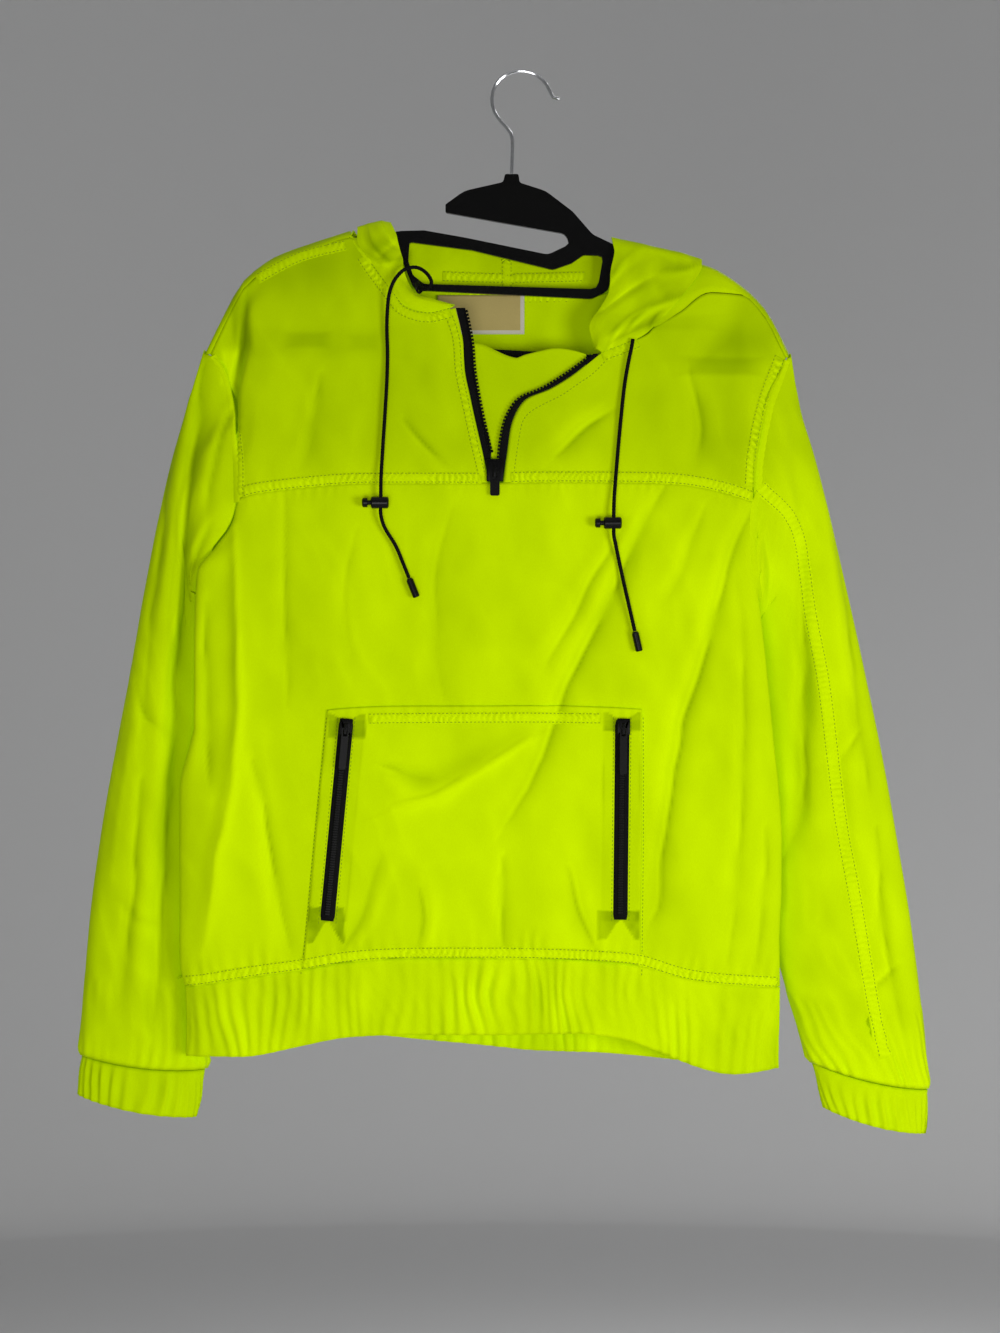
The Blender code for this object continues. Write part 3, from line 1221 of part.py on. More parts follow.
def make_cords(coll, cutters):
    for side, rows in (("left", CORD_LEFT), ("right", CORD_RIGHT)):
        points = cord_points(rows)
        tube("drawcord_" + side, points, CORD, "cord", coll)
        tip = points[-1]
        aim = points[-1] - points[-2]
        aim = aim / np.linalg.norm(aim)
        start = tip + aim * LIFT
        end = start + aim * CORD_END_LENGTH
        length = CORD_END_LENGTH
        radius = CORD_END_DIAMETER / 2
        taper, narrowing = CORD_END_MOUTH
        profile = [(length, 0), (length, radius - CORD_END_ROUND),
                   (length - CORD_END_ROUND, radius), (taper, radius),
                   (0, radius - narrowing), (0, 0)]
        cap = turned("cord_end_" + side, profile, "plastic", coll)
        cap.matrix_world = (Matrix.Translation(Vector(start) * MM)
                            @ Vector(end - start).to_track_quat("Z", "Y").to_matrix().to_4x4())
        make_lock(side, coll, cutters)


def make_eyelet(coll):
    """Eyelet of the left drawcord, set in the hood's edge and facing the neck."""
    x, z = EYELET["x"], EYELET["z"]
    y = float(front_y(x, z)) - EYELET["out"]
    bpy.ops.mesh.primitive_torus_add(
        major_radius=EYELET_RADIUS * MM, minor_radius=EYELET_WIRE * MM,
        major_segments=16, minor_segments=6, location=(x * MM, y * MM, z * MM),
        rotation=Vector(EYELET["axis"]).to_track_quat("Z", "Y").to_euler())
    ring = bpy.context.active_object
    ring.name = "eyelet_left"
    keep_in(ring, coll)
    ring.data.materials.append(principled("zip_metal"))


def make_hanger(coll):
    outlines = [filleted(HANGER_OUTER), filleted(HANGER_LOOP), filleted(HANGER_WINDOW)]
    plate("hanger_body", outlines, HANGER_THICKNESS, "plastic", coll)
    route = np.stack([HOOK_ROUTE["x"], 0 * HOOK_ROUTE["x"], HOOK_ROUTE["z"]], -1)
    points = smooth_path(route, np.linspace(0, 1, HOOK_POINTS))
    tube("hanger_hook", points, HOOK_WIRE, "hook", coll)


def main():
    clear_scene()
    coll = new_collection("anorak_pullover")
    cutters = new_collection("cutters", hidden=True)
    make_cloth(coll)
    make_zip_fittings(coll, cutters)
    make_cords(coll, cutters)
    make_eyelet(coll)
    make_hanger(coll)


main()
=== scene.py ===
import math

import bmesh
import bpy
import numpy as np
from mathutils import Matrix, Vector
from mathutils.bvhtree import BVHTree


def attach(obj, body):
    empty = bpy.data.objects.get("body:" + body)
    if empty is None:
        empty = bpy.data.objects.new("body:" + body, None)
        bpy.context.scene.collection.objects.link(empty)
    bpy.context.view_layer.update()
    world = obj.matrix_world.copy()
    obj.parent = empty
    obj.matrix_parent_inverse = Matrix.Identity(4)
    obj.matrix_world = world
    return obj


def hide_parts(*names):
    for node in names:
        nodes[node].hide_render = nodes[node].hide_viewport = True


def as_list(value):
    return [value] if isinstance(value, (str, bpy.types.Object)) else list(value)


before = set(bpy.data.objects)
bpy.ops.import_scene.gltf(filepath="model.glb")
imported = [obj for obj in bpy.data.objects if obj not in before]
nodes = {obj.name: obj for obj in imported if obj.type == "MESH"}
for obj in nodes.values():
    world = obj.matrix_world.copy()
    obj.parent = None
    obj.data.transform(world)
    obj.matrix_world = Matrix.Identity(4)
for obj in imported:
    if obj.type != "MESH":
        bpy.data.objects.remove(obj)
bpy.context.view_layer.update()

mm = 0.001


def stageNote(text):
    print("stage:", text, flush=True)


# Camera, straight on and level with the middle of the garment

view = {"centre": (-0.0207, -0.504), "distance": 2.3, "frameHeight": 1.122, "garmentPlane": -0.02,
        "sensor": 36.0}


def addCamera():
    data = bpy.data.cameras.new("camera")
    data.sensor_fit = "VERTICAL"
    data.sensor_height = view["sensor"]
    data.lens = view["sensor"] * view["distance"] / view["frameHeight"]
    camera = bpy.data.objects.new("camera", data)
    x, z = view["centre"]
    camera.location = (x, view["garmentPlane"] - view["distance"], z)
    camera.rotation_euler = (math.pi / 2, 0, 0)
    scene = bpy.context.scene
    scene.collection.objects.link(camera)
    scene.camera = camera
    scene.view_settings.view_transform = "Standard"


addCamera()
stageNote("camera")


# Materials

black = (0.003, 0.003, 0.003)
# The cloth's glow is painted glow: an even emission in its own colour. It stands in partly for the dye's
# fluorescence and partly lifts the cloth's shade.
looks = {
    "cloth": {"colour": (0.66, 0.93, 0.0), "shade": (0.21, 0.34, 0.0), "gloss": (0.8, 1.0, 0.0),
              "roughness": 0.6, "specular": 0.12, "glow": 0.05, "grain": 2100.0, "stretch": 0.3,
              "bump": 0.1, "threadFrom": 0.35, "threadTo": 0.65, "threadDark": 0.955},
    "thread": {"colour": (0.24, 0.36, 0.0), "roughness": 0.5, "specular": 0.2, "grain": 800.0,
               "bump": 0.05},
    "tape": {"colour": black, "roughness": 0.75, "specular": 0.1, "grain": 2600.0, "bump": 0.25},
    "teeth": {"colour": black, "roughness": 0.35, "specular": 0.1, "grain": 900.0, "bump": 0.05},
    "zipMetal": {"colour": black, "roughness": 0.35, "specular": 0.1, "grain": 700.0, "bump": 0.04},
    "cord": {"colour": black, "roughness": 0.7, "specular": 0.1, "grain": 3200.0, "bump": 0.3},
    "plastic": {"colour": black, "roughness": 0.3, "specular": 0.2, "grain": 500.0, "bump": 0.05},
    "hanger": {"colour": black, "roughness": 0.24, "specular": 0.14, "grain": 260.0, "bump": 0.04},
    "hook": {"colour": (0.62, 0.63, 0.65), "roughness": 0.12, "metallic": 1.0, "grain": 400.0,
             "bump": 0.03},
    "label": {"colour": (0.46, 0.36, 0.12), "roughness": 0.7, "grain": 2400.0, "bump": 0.25},
    "labelBorder": {"colour": (0.58, 0.55, 0.44), "roughness": 0.7, "grain": 2400.0, "bump": 0.25}}
grains = {"depth": 0.0003, "detail": 3, "darker": 0.8, "lighter": 1.15}


def shaderFor(name, look):
    material = bpy.data.materials.new(name)
    material.use_nodes = True
    shader = material.node_tree.nodes["Principled BSDF"]
    shader.inputs["Base Color"].default_value = (*look["colour"], 1)
    shader.inputs["Roughness"].default_value = look["roughness"]
    shader.inputs["Metallic"].default_value = look.get("metallic", 0.0)
    shader.inputs["Specular IOR Level"].default_value = look.get("specular", 0.4)
    shader.inputs["Specular Tint"].default_value = (*look.get("gloss", (1, 1, 1)), 1)
    return material, material.node_tree, shader


def grainOn(tree, shader, look):
    place = tree.nodes.new("ShaderNodeTexCoord")
    spread = tree.nodes.new("ShaderNodeMapping")
    spread.inputs["Scale"].default_value = (1, 1, look.get("stretch", 1.0))
    grain = tree.nodes.new("ShaderNodeTexNoise")
    grain.inputs["Scale"].default_value = look["grain"]
    grain.inputs["Detail"].default_value = grains["detail"]
    bump = tree.nodes.new("ShaderNodeBump")
    bump.inputs["Strength"].default_value = look["bump"]
    bump.inputs["Distance"].default_value = grains["depth"]
    tree.links.new(place.outputs["Object"], spread.inputs["Vector"])
    tree.links.new(spread.outputs["Vector"], grain.inputs["Vector"])
    tree.links.new(grain.outputs["Fac"], bump.inputs["Height"])
    tree.links.new(bump.outputs["Normal"], shader.inputs["Normal"])
    return grain


def plainMaterial(name):
    look = looks[name]
    material, tree, shader = shaderFor(name, look)
    grain = grainOn(tree, shader, look)
    tint = tree.nodes.new("ShaderNodeValToRGB")
    tint.color_ramp.elements[0].color = (*[c * grains["darker"] for c in look["colour"]], 1)
    lighter = [min(1, c * grains["lighter"]) for c in look["colour"]]
    tint.color_ramp.elements[1].color = (*lighter, 1)
    tree.links.new(grain.outputs["Fac"], tint.inputs["Fac"])
    tree.links.new(tint.outputs["Color"], shader.inputs["Base Color"])
    return material


def clothMaterial():
    look = looks["cloth"]
    material, tree, shader = shaderFor("cloth", look)
    grain = grainOn(tree, shader, look)
    # The tone attribute carries painted shade and painted light as well as the cloth's own uneven tone
    tone = tree.nodes.new("ShaderNodeAttribute")
    tone.attribute_name = "tone"
    body = tree.nodes.new("ShaderNodeMix")
    body.data_type = "RGBA"
    body.inputs["A"].default_value = (*look["shade"], 1)
    body.inputs["B"].default_value = (*look["colour"], 1)
    threads = tree.nodes.new("ShaderNodeValToRGB")
    threads.color_ramp.elements[0].position = look["threadFrom"]
    threads.color_ramp.elements[0].color = (*[look["threadDark"]] * 3, 1)
    threads.color_ramp.elements[1].position = look["threadTo"]
    threads.color_ramp.elements[1].color = (1, 1, 1, 1)
    woven = tree.nodes.new("ShaderNodeMix")
    woven.data_type = "RGBA"
    woven.blend_type = "MULTIPLY"
    woven.inputs["Factor"].default_value = 1
    tree.links.new(tone.outputs["Fac"], body.inputs["Factor"])
    tree.links.new(grain.outputs["Fac"], threads.inputs["Fac"])
    tree.links.new(body.outputs["Result"], woven.inputs["A"])
    tree.links.new(threads.outputs["Color"], woven.inputs["B"])
    tree.links.new(woven.outputs["Result"], shader.inputs["Base Color"])
    # Painted glow: emission in the cloth's colour, partly for the dye's fluorescence and partly lifting its
    # shade
    shader.inputs["Emission Color"].default_value = (*look["colour"], 1)
    shader.inputs["Emission Strength"].default_value = look["glow"]
    return material


materials = {name: plainMaterial(name) for name in looks if name != "cloth"}
materials["cloth"] = clothMaterial()
stageNote("materials")


# Meshes from points in millimetres

def addMesh(name, points, faces, matter, body="root", smooth=True):
    mesh = bpy.data.meshes.new(name)
    mesh.from_pydata((np.asarray(points, float) * mm).tolist(), [], [list(face) for face in faces])
    mesh.materials.append(materials[matter])
    mesh.polygons.foreach_set("use_smooth", [smooth] * len(mesh.polygons))
    piece = bpy.data.objects.new(name, mesh)
    bpy.context.scene.collection.objects.link(piece)
    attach(piece, body)
    return piece


def unit(vectors):
    length = np.linalg.norm(vectors, axis=-1, keepdims=True)
    return vectors / np.maximum(length, 1e-9)


def gridFaces(rows, columns, closed=False):
    a = np.arange(rows * columns).reshape(rows, columns)
    if closed:
        a = np.concatenate([a, a[:, :1]], axis=1)
    return np.stack([a[:-1, :-1], a[:-1, 1:], a[1:, 1:], a[1:, :-1]], -1).reshape(-1, 4)


def facesTowards(grid, up, closed=False):
    faces = gridFaces(*grid.shape[:2], closed)
    a, b, d = (grid.reshape(-1, 3)[faces[0, k]] for k in (0, 1, 3))
    return faces[:, ::-1] if np.cross(b - a, d - a) @ up < 0 else faces


def thicken(piece, thickness, offset=-1):
    shell = piece.modifiers.new("thickness", "SOLIDIFY")
    shell.thickness = thickness * mm
    shell.offset = offset


def runAlong(points):
    return np.concatenate([[0], np.cumsum(np.linalg.norm(np.diff(points, axis=0), axis=1))])


def readAt(points, run, at):
    return np.stack([np.interp(at, run, points[:, k]) for k in range(points.shape[1])], -1)


splineSteps = 12                     # between two of the given points


def spline(points, steps):
    points = np.asarray(points, float)
    ends = np.vstack([2 * points[0] - points[1], points, 2 * points[-1] - points[-2]])
    fine = []
    for i in range(len(points) - 1):
        a, b, c, d = ends[i:i + 4]
        f = np.linspace(0, 1, splineSteps, endpoint=False)[:, None]
        fine.append(0.5 * (2 * b + (c - a) * f + (2 * a - 5 * b + 4 * c - d) * f ** 2
                           + (3 * b - a - 3 * c + d) * f ** 3))
    fine = np.vstack(fine + [points[-1:]])
    run = runAlong(fine)
    count = steps if isinstance(steps, int) else max(2, round(run[-1] / steps))
    return readAt(fine, run, np.linspace(0, run[-1], count + 1))


def pathLength(points):
    return float(np.linalg.norm(np.diff(points, axis=0), axis=1).sum())


def carried(points):
    ahead = unit(np.gradient(points, axis=0))
    side = unit(np.cross(ahead[0], (0.3, 0.2, 0.93)))
    sides = []
    for aim in ahead:
        side = side - aim * side.dot(aim)
        side = side / np.linalg.norm(side)
        sides.append(side)
    sides = np.array(sides)
    return sides, np.cross(ahead, sides)


# Drawcords: round braid along the route that the cord's own weight gives it

cords = {"diameter": 3.2, "strands": 8, "braidPitch": 5.2, "braidDepth": 0.16, "around": 20,
         "step": 0.65}
cordRoutes = {
    "left": ((-88.4, -21.7, -187.1), (-82.5, -24.6, -186.8), (-79.5, -26.5, -184.6),
             (-78.2, -27.6, -181.0), (-81.5, -27.8, -175.0), (-87.0, -27.0, -170.5),
             (-93.0, -26.0, -168.8), (-100.5, -24.9, -170.3), (-106.5, -24.5, -175.5),
             (-111.0, -24.3, -182.5), (-114.0, -23.9, -192.0), (-115.3, -23.7, -204.0),
             (-115.8, -23.9, -220.0), (-115.2, -24.4, -243.0), (-116.0, -25.9, -270.0),
             (-119.0, -30.6, -322.0), (-120.2, -34.3, -345.0), (-120.3, -35.9, -357.0),
             (-120.3, -36.3, -367.0), (-120.3, -36.7, -377.0), (-117.0, -36.0, -388.0),
             (-108.0, -35.0, -403.0), (-102.0, -35.1, -417.0), (-96.8, -35.4, -430.0)),
    "right": ((91.0, -23.2, -229.0), (89.8, -24.5, -236.0), (87.0, -25.3, -249.0),
              (83.5, -26.4, -270.0), (80.0, -28.5, -303.0), (77.0, -31.2, -336.0),
              (75.0, -34.3, -360.0), (74.4, -36.4, -374.0), (74.4, -36.7, -384.0),
              (74.4, -37.0, -394.0), (76.2, -35.6, -403.0), (79.0, -33.1, -416.0),
              (82.5, -32.0, -432.0), (86.0, -34.9, -448.0), (92.0, -35.6, -474.5))}


def addCord(side):
    path = spline(cordRoutes[side], cords["step"])
    across, up = carried(path)
    turn = np.linspace(0, 2 * math.pi, cords["around"], endpoint=False)
    run = np.arange(len(path)) * pathLength(path) / (len(path) - 1)
    strands = cords["strands"]
    phase = (2 * math.pi * run / cords["braidPitch"])[:, None]
    weave = np.cos(strands / 2 * turn + phase) * np.cos(strands / 2 * turn - phase)
    radius = cords["diameter"] / 2 - cords["braidDepth"] / 2 + cords["braidDepth"] * weave
    ring = across[:, None] * np.cos(turn)[:, None] + up[:, None] * np.sin(turn)[:, None]
    points = (path[:, None] + ring * radius[..., None]).reshape(-1, 3)
    faces = gridFaces(len(path), len(turn), closed=True).tolist()
    points = np.vstack([points, path[:1], path[-1:]])
    last = len(path) * len(turn)
    for k in range(len(turn)):
        after = (k + 1) % len(turn)
        faces.append([last, after, k])
        faces.append([last + 1, last - len(turn) + k, last - len(turn) + after])
    piece = addMesh("drawcord_" + side + "_braid", points, faces, "cord")
    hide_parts("drawcord_" + side)
    return piece, path


def declareCord(side):
    piece, path = madeCords[side]
    pathLength(path) * mm


madeCords = {side: addCord(side) for side in cordRoutes}
stageNote("cords")


# The frame's cloth solids, read back as rows and columns of outer points

clothWall = 1.5                       # thickness of the frame's cloth walls
towards = {"front": (0, -1, 0), "back": (0, 1, 0)}
panels = {                           # side, rows, columns, then the corners (x, z) in turn
    "front_body": ("front", 14, 27, ((-247, -360), (193, -366), (216, -774), (-291, -773))),
    "back_body": ("back", 26, 27, ((-266, -239), (221, -243), (216, -774), (-291, -773))),
    "front_yoke_left": ("front", 9, 14, ((-266, -240), (-58, -202), (-30, -350), (-241, -363))),
    "front_yoke_right": ("front", 9, 14, ((221, -243), (63, -241), (-18, -349), (192, -366))),
    "hem_band_front": ("front", 3, 99, ((-291, -773), (216, -774), (218, -842), (-290, -832))),
    "hem_band_back": ("back", 3, 99, ((-291, -773), (216, -774), (218, -843), (-290, -833))),
    "hood_left": ("back", 14, 12, ((-60, -201), (-58.5, -199), (-13.4, -198), (-13.4, -188))),
    "hood_right": ("back", 15, 12, ((65, -240), (59.5, -236.5), (-12.6, -198), (-12.6, -188))),
    "pocket_panel": ("front", 8, 13, ((-163, -541), (98, -541), (97, -775), (-186, -775))),
    "zip_guard": ("front", 4, 10, ((-46, -231), (52, -241), (52, -253), (-46, -257))),
    "neck_zip_tape_left": ("front", 9, 3, ((-58, -202), (-50, -202), (-25, -348), (-30, -348))),
    "neck_zip_tape_right": ("front", 9, 3, ((63, -241), (58, -241), (-23, -348), (-18, -348))),
    "neck_label": ("front", 3, 5, ((-74, -188), (0, -188), (0, -221), (-74, -221)))}
tubes = {                            # the first point of the top row
    "sleeve_left": (-266, -5, -240), "sleeve_right": (221, -5, -243),
    "cuff_left": (-378, 14, -836), "cuff_right": (343, 6, -864)}
otherWalls = {"neck_label": 0.8}


def skinOf(name, aim):
    mesh = bmesh.new()
    mesh.from_mesh(nodes[name].data)
    bmesh.ops.remove_doubles(mesh, verts=mesh.verts, dist=2e-6)
    mesh.verts.index_update()
    points = np.array([v.co for v in mesh.verts]) / mm
    tris = np.array([[v.index for v in f.verts] for f in mesh.faces])
    mesh.free()
    sides = np.linalg.norm(points[tris] - points[np.roll(tris, -1, axis=1)], axis=2)
    rim = (np.abs(sides - otherWalls.get(name, clothWall)) < 0.003).any(axis=1)
    skins, edges = tris[~rim], tris[rim]
    group = np.arange(len(points))
    while True:                       # each skin's points take the lowest number in it
        least = group.copy()
        np.minimum.at(least, skins.ravel(), np.repeat(group[skins].min(axis=1), 3))
        if (least == group).all():
            break
        group = least
    within = (group[edges] == group[edges[:, :1]]).all(axis=1)
    within &= np.isin(edges[:, 0], skins)
    skins = np.concatenate([skins, edges[within]])
    label = group[skins[:, 0]]
    parts = sorted((skins[label == g] for g in np.unique(label)), key=len)[-2:]
    if aim is None:
        outer = max(parts, key=lambda part: np.ptp(points[part.ravel()], axis=0).sum())
    else:
        outer = max(parts, key=lambda part: (points[part.ravel()] @ np.array(aim)).mean())
    return points, outer


def acrossEdges(tris):
    across = {}
    for a, b, c in tris:
        across[a, b] = c
        across[b, c] = a
        across[c, a] = b
    return across


def rimLoops(across):
    follow = {b: a for a, b in across if (b, a) not in across}
    loops = []
    while follow:
        loop = [next(iter(follow))]
        while True:
            step = follow.pop(loop[-1])
            if step == loop[0]:
                break
            loop.append(step)
        loops.append(loop)
    return loops


def rowBelow(across, row, first, sense):
    made = [first]
    for a, ahead in zip(row, row[1:]):
        c = across.get((a, made[-1])[::sense])
        if c == ahead:
            c = across.get((c, made[-1])[::sense])
        made.append(c)
    return made


def panelGrid(name):
    aim, rows, columns, corners = panels[name]
    points, tris = skinOf(name, towards[aim])
    across = acrossEdges(tris)
    loop = max(rimLoops(across), key=len)
    turns = np.cumsum([0, columns - 1, rows - 1, columns - 1])
    best = None
    for ring in (loop, loop[::-1]):
        flat = points[ring][:, [0, 2]]
        for k in range(len(ring)):
            off = np.linalg.norm(flat[(turns + k) % len(ring)] - corners, axis=1).sum()
            if best is None or off < best[0]:
                best = (off, ring[k:] + ring[:k])
    ring = best[1]
    made = [ring[:columns]]
    sense = 1 if (ring[0], ring[-1]) in across else -1
    for first in ring[:-rows:-1]:
        made.append(rowBelow(across, made[-1], first, sense))
    return points[np.array(made)]


def tubeGrid(name):
    points, tris = skinOf(name, None)
    across = acrossEdges(tris)
    loop = max(rimLoops(across), key=lambda ring: points[ring][:, 2].mean())
    start = int(np.argmin(np.linalg.norm(points[loop] - tubes[name], axis=1)))
    made = [loop[start:] + loop[:start]]
    near = {}
    for a, b in across:
        near.setdefault(a, set()).add(b)
    used = set(made[0])
    while len(used) < len(np.unique(tris)):
        row = made[-1]
        choices = sorted(near[row[0]] - used, key=lambda v: np.linalg.norm(points[v] - points[row[0]]))
        for first, sense in [(v, way) for v in choices for way in (1, -1)]:
            below = rowBelow(across, row + row[:1], first, sense)
            if None not in below and below[-1] == first:
                break
        made.append(below[:-1])
        used.update(below)
    return points[np.array(made)]


# Finer rows and columns through the same points

def slopesOf(at, values):
    gaps = np.diff(at)[:, None]
    rise = np.diff(values, axis=0) / gaps
    weightA, weightB = 2 * gaps[1:] + gaps[:-1], gaps[1:] + 2 * gaps[:-1]
    same = rise[:-1] * rise[1:] > 0
    safe = np.where(same, rise[:-1] * rise[1:], 1)
    bend = (weightA + weightB) * safe / np.where(same, weightA * rise[1:] + weightB * rise[:-1], 1)
    return np.vstack([rise[:1], np.where(same, bend, 0), rise[-1:]])


def through(at, values, wanted):
    shape = values.shape[1:]
    values = values.reshape(len(at), -1)
    slopes = slopesOf(at, values)
    k = np.clip(np.searchsorted(at, wanted, side="right") - 1, 0, len(at) - 2)
    gap = (at[k + 1] - at[k])[:, None]
    f = (wanted - at[k])[:, None] / gap
    made = ((1 + 2 * f) * (1 - f) ** 2 * values[k] + f * (1 - f) ** 2 * gap * slopes[k]
            + f ** 2 * (3 - 2 * f) * values[k + 1] + f ** 2 * (f - 1) * gap * slopes[k + 1])
    return made.reshape(-1, *shape)


def finerAt(grid, step):
    gaps = np.linalg.norm(np.diff(grid, axis=0), axis=2).mean(axis=1)
    at = np.concatenate([[0], np.cumsum(np.maximum(gaps, 0.05))])
    wanted = [np.linspace(a, b, max(1, math.ceil((b - a) / step - 0.2)), endpoint=False)
              for a, b in zip(at, at[1:])]
    return at, np.concatenate(wanted + [at[-1:]])


def refined(grid, rowStep, columnStep, closed=False):
    at, wanted = finerAt(grid, rowStep)
    grid = through(at, grid, wanted)
    turned = np.swapaxes(grid, 0, 1)
    if not closed:
        at, wanted = finerAt(turned, columnStep)
        return np.swapaxes(through(at, turned, wanted), 0, 1)
    wrap = 3
    count = len(turned)
    turned = np.concatenate([turned[-wrap:], turned, turned[:wrap + 1]])
    at, wanted = finerAt(turned, columnStep)
    wanted = wanted[(wanted >= at[wrap] - 1e-9) & (wanted < at[wrap + count] - 1e-9)]
    return np.swapaxes(through(at, turned, wanted), 0, 1)


def normalsOf(grid, closed, outward):
    if closed:
        wide = np.concatenate([grid[:, -1:], grid, grid[:, :1]], axis=1)
        along = (wide[:, 2:] - wide[:, :-2]) / 2
    else:
        along = np.gradient(grid, axis=1)
    made = unit(np.cross(np.gradient(grid, axis=0), along))
    if closed:
        middle = grid.mean(axis=1, keepdims=True)
        return made * np.sign((made * (grid - middle)).sum())
    return made * np.sign((made @ np.array(outward)).sum())


def softened(grid, passes):
    for _ in range(passes):
        grid[1:-1, :, 1] = (grid[:-2, :, 1] + 2 * grid[1:-1, :, 1] + grid[2:, :, 1]) / 4
        grid[:, 1:-1, 1] = (grid[:, :-2, 1] + 2 * grid[:, 1:-1, 1] + grid[:, 2:, 1]) / 4
    return grid


# Creases, gathers and fine crinkle, as heights over places (x, z) in millimetres

def smoothStep(value):
    value = np.clip(value, 0, 1)
    return value * value * (3 - 2 * value)


def noise(x, z, size, seed):
    heights = np.random.default_rng(seed).uniform(-1, 1, (64, 64))
    u, v = np.asarray(x) / size[0], np.asarray(z) / size[1]
    i, j = np.floor(u).astype(int), np.floor(v).astype(int)
    f, g = smoothStep(u - i), smoothStep(v - j)
    i, j, k, l = i % 64, j % 64, (i + 1) % 64, (j + 1) % 64
    top = heights[i, j] * (1 - f) + heights[k, j] * f
    return top * (1 - g) + (heights[i, l] * (1 - f) + heights[k, l] * f) * g


def nearLine(x, z, line):
    line = np.asarray(line, float)
    steps = np.diff(line, axis=0)
    runs = runAlong(line)
    best = np.full(x.shape, 1e9)
    away, along = np.zeros(x.shape), np.zeros(x.shape)
    for a, step, run in zip(line, steps, runs):
        length = np.hypot(*step)
        t = np.clip(((x - a[0]) * step[0] + (z - a[1]) * step[1]) / length ** 2, 0, 1)
        dx, dz = x - a[0] - t * step[0], z - a[1] - t * step[1]
        off = np.hypot(dx, dz)
        side = np.sign(dx * step[1] - dz * step[0])
        closer = off < best
        best = np.where(closer, off, best)
        away = np.where(closer, off * side, away)
        along = np.where(closer, run + t * length, along)
    return away, along, runs[-1]


creaseForm = {"depth": 1.55, "soft": 0.5, "sharp": 0.65, "sharpWide": 0.38, "ridge": 0.55, "ridgeAt": 1.5,
              "fade": 0.55, "sway": 0.25, "swaySize": (31, 9), "breaks": 0.9, "breakSize": (27, 9)}


def alongCreases(x, z, rows):
    for width, depth, *line in rows:
        away, along, length = nearLine(x, z, spline(line, 10))
        t = along / length
        fade = np.sin(math.pi * np.clip(0.04 + 0.92 * t, 0, 1)) ** creaseForm["fade"]
        seed = int(abs(line[0][0])) + 3
        away = away + creaseForm["sway"] * width * noise(along, away * 0, creaseForm["swaySize"], seed)
        broken = creaseForm["breaks"] * noise(along, away * 0, creaseForm["breakSize"], seed + 1)
        yield width * (0.75 + 0.5 * t), depth, away, fade, smoothStep(0.6 + broken)


def creaseHeight(x, z, rows):
    height = np.zeros(x.shape)
    for wide, depth, away, fade, broken in alongCreases(x, z, rows):
        trough = creaseForm["soft"] * np.exp(-(away / wide) ** 2)
        trough += creaseForm["sharp"] * np.exp(-np.abs(away) / (creaseForm["sharpWide"] * wide))
        trough -= creaseForm["ridge"] * np.exp(-((away - creaseForm["ridgeAt"] * wide) / wide) ** 2)
        height -= depth * fade * trough
    return creaseForm["depth"] * height


# Painted shade along each crease's fold and a painted highlight beside it, added to the cloth's tone
paintedCreaseShading = {"fold": 1.7, "edge": 1.9, "edgeAt": 3.6, "dark": 0.30, "light": 0.20}


def paintedCreaseShade(x, z, rows):
    tone = np.zeros(x.shape)
    for wide, depth, away, fade, broken in alongCreases(x, z, rows):
        fold = -paintedCreaseShading["dark"] * np.exp(-np.abs(away) / paintedCreaseShading["fold"])
        edge = paintedCreaseShading["light"] * np.exp(-((away - paintedCreaseShading["edgeAt"]) / paintedCreaseShading["edge"]) ** 2)
        tone += np.clip(depth, -1.2, 1.2) * fade * broken * (fold + edge)
    return tone


crinkle = {"swayX": 11, "swayXSize": (41, 53), "swayZ": 14, "swayZSize": (37, 59), "lean": 0.3,
           "level": 0.62, "sharp": 1.6, "calmest": 0.25, "placeSize": (70, 110)}


def crinkleHeight(x, z, size, seed):
    u = x + crinkle["swayX"] * noise(x, z, crinkle["swayXSize"], seed)
    v = z + crinkle["swayZ"] * noise(x, z, crinkle["swayZSize"], seed + 1)
    folds = crinkle["level"] - np.abs(noise(u + crinkle["lean"] * v, v, size, seed + 2)) * crinkle["sharp"]
    where = smoothStep(0.45 + 0.9 * noise(x, z, crinkle["placeSize"], seed + 3))
    return folds * (crinkle["calmest"] + (1 - crinkle["calmest"]) * where)


def puckerHeight(x, z, line, pitch, reach, depth, seed):
    away, along, length = nearLine(x, z, line)
    sway = along + 2.2 * noise(along, away, (19, 14), seed)
    wave = np.cos(2 * math.pi * sway / pitch) * (0.65 + 0.6 * noise(along, away * 0, (23, 9), seed + 1))
    inside = (along > 0.01) & (along < length - 0.01)
    return depth * wave * np.exp(-(away / reach) ** 2) * inside


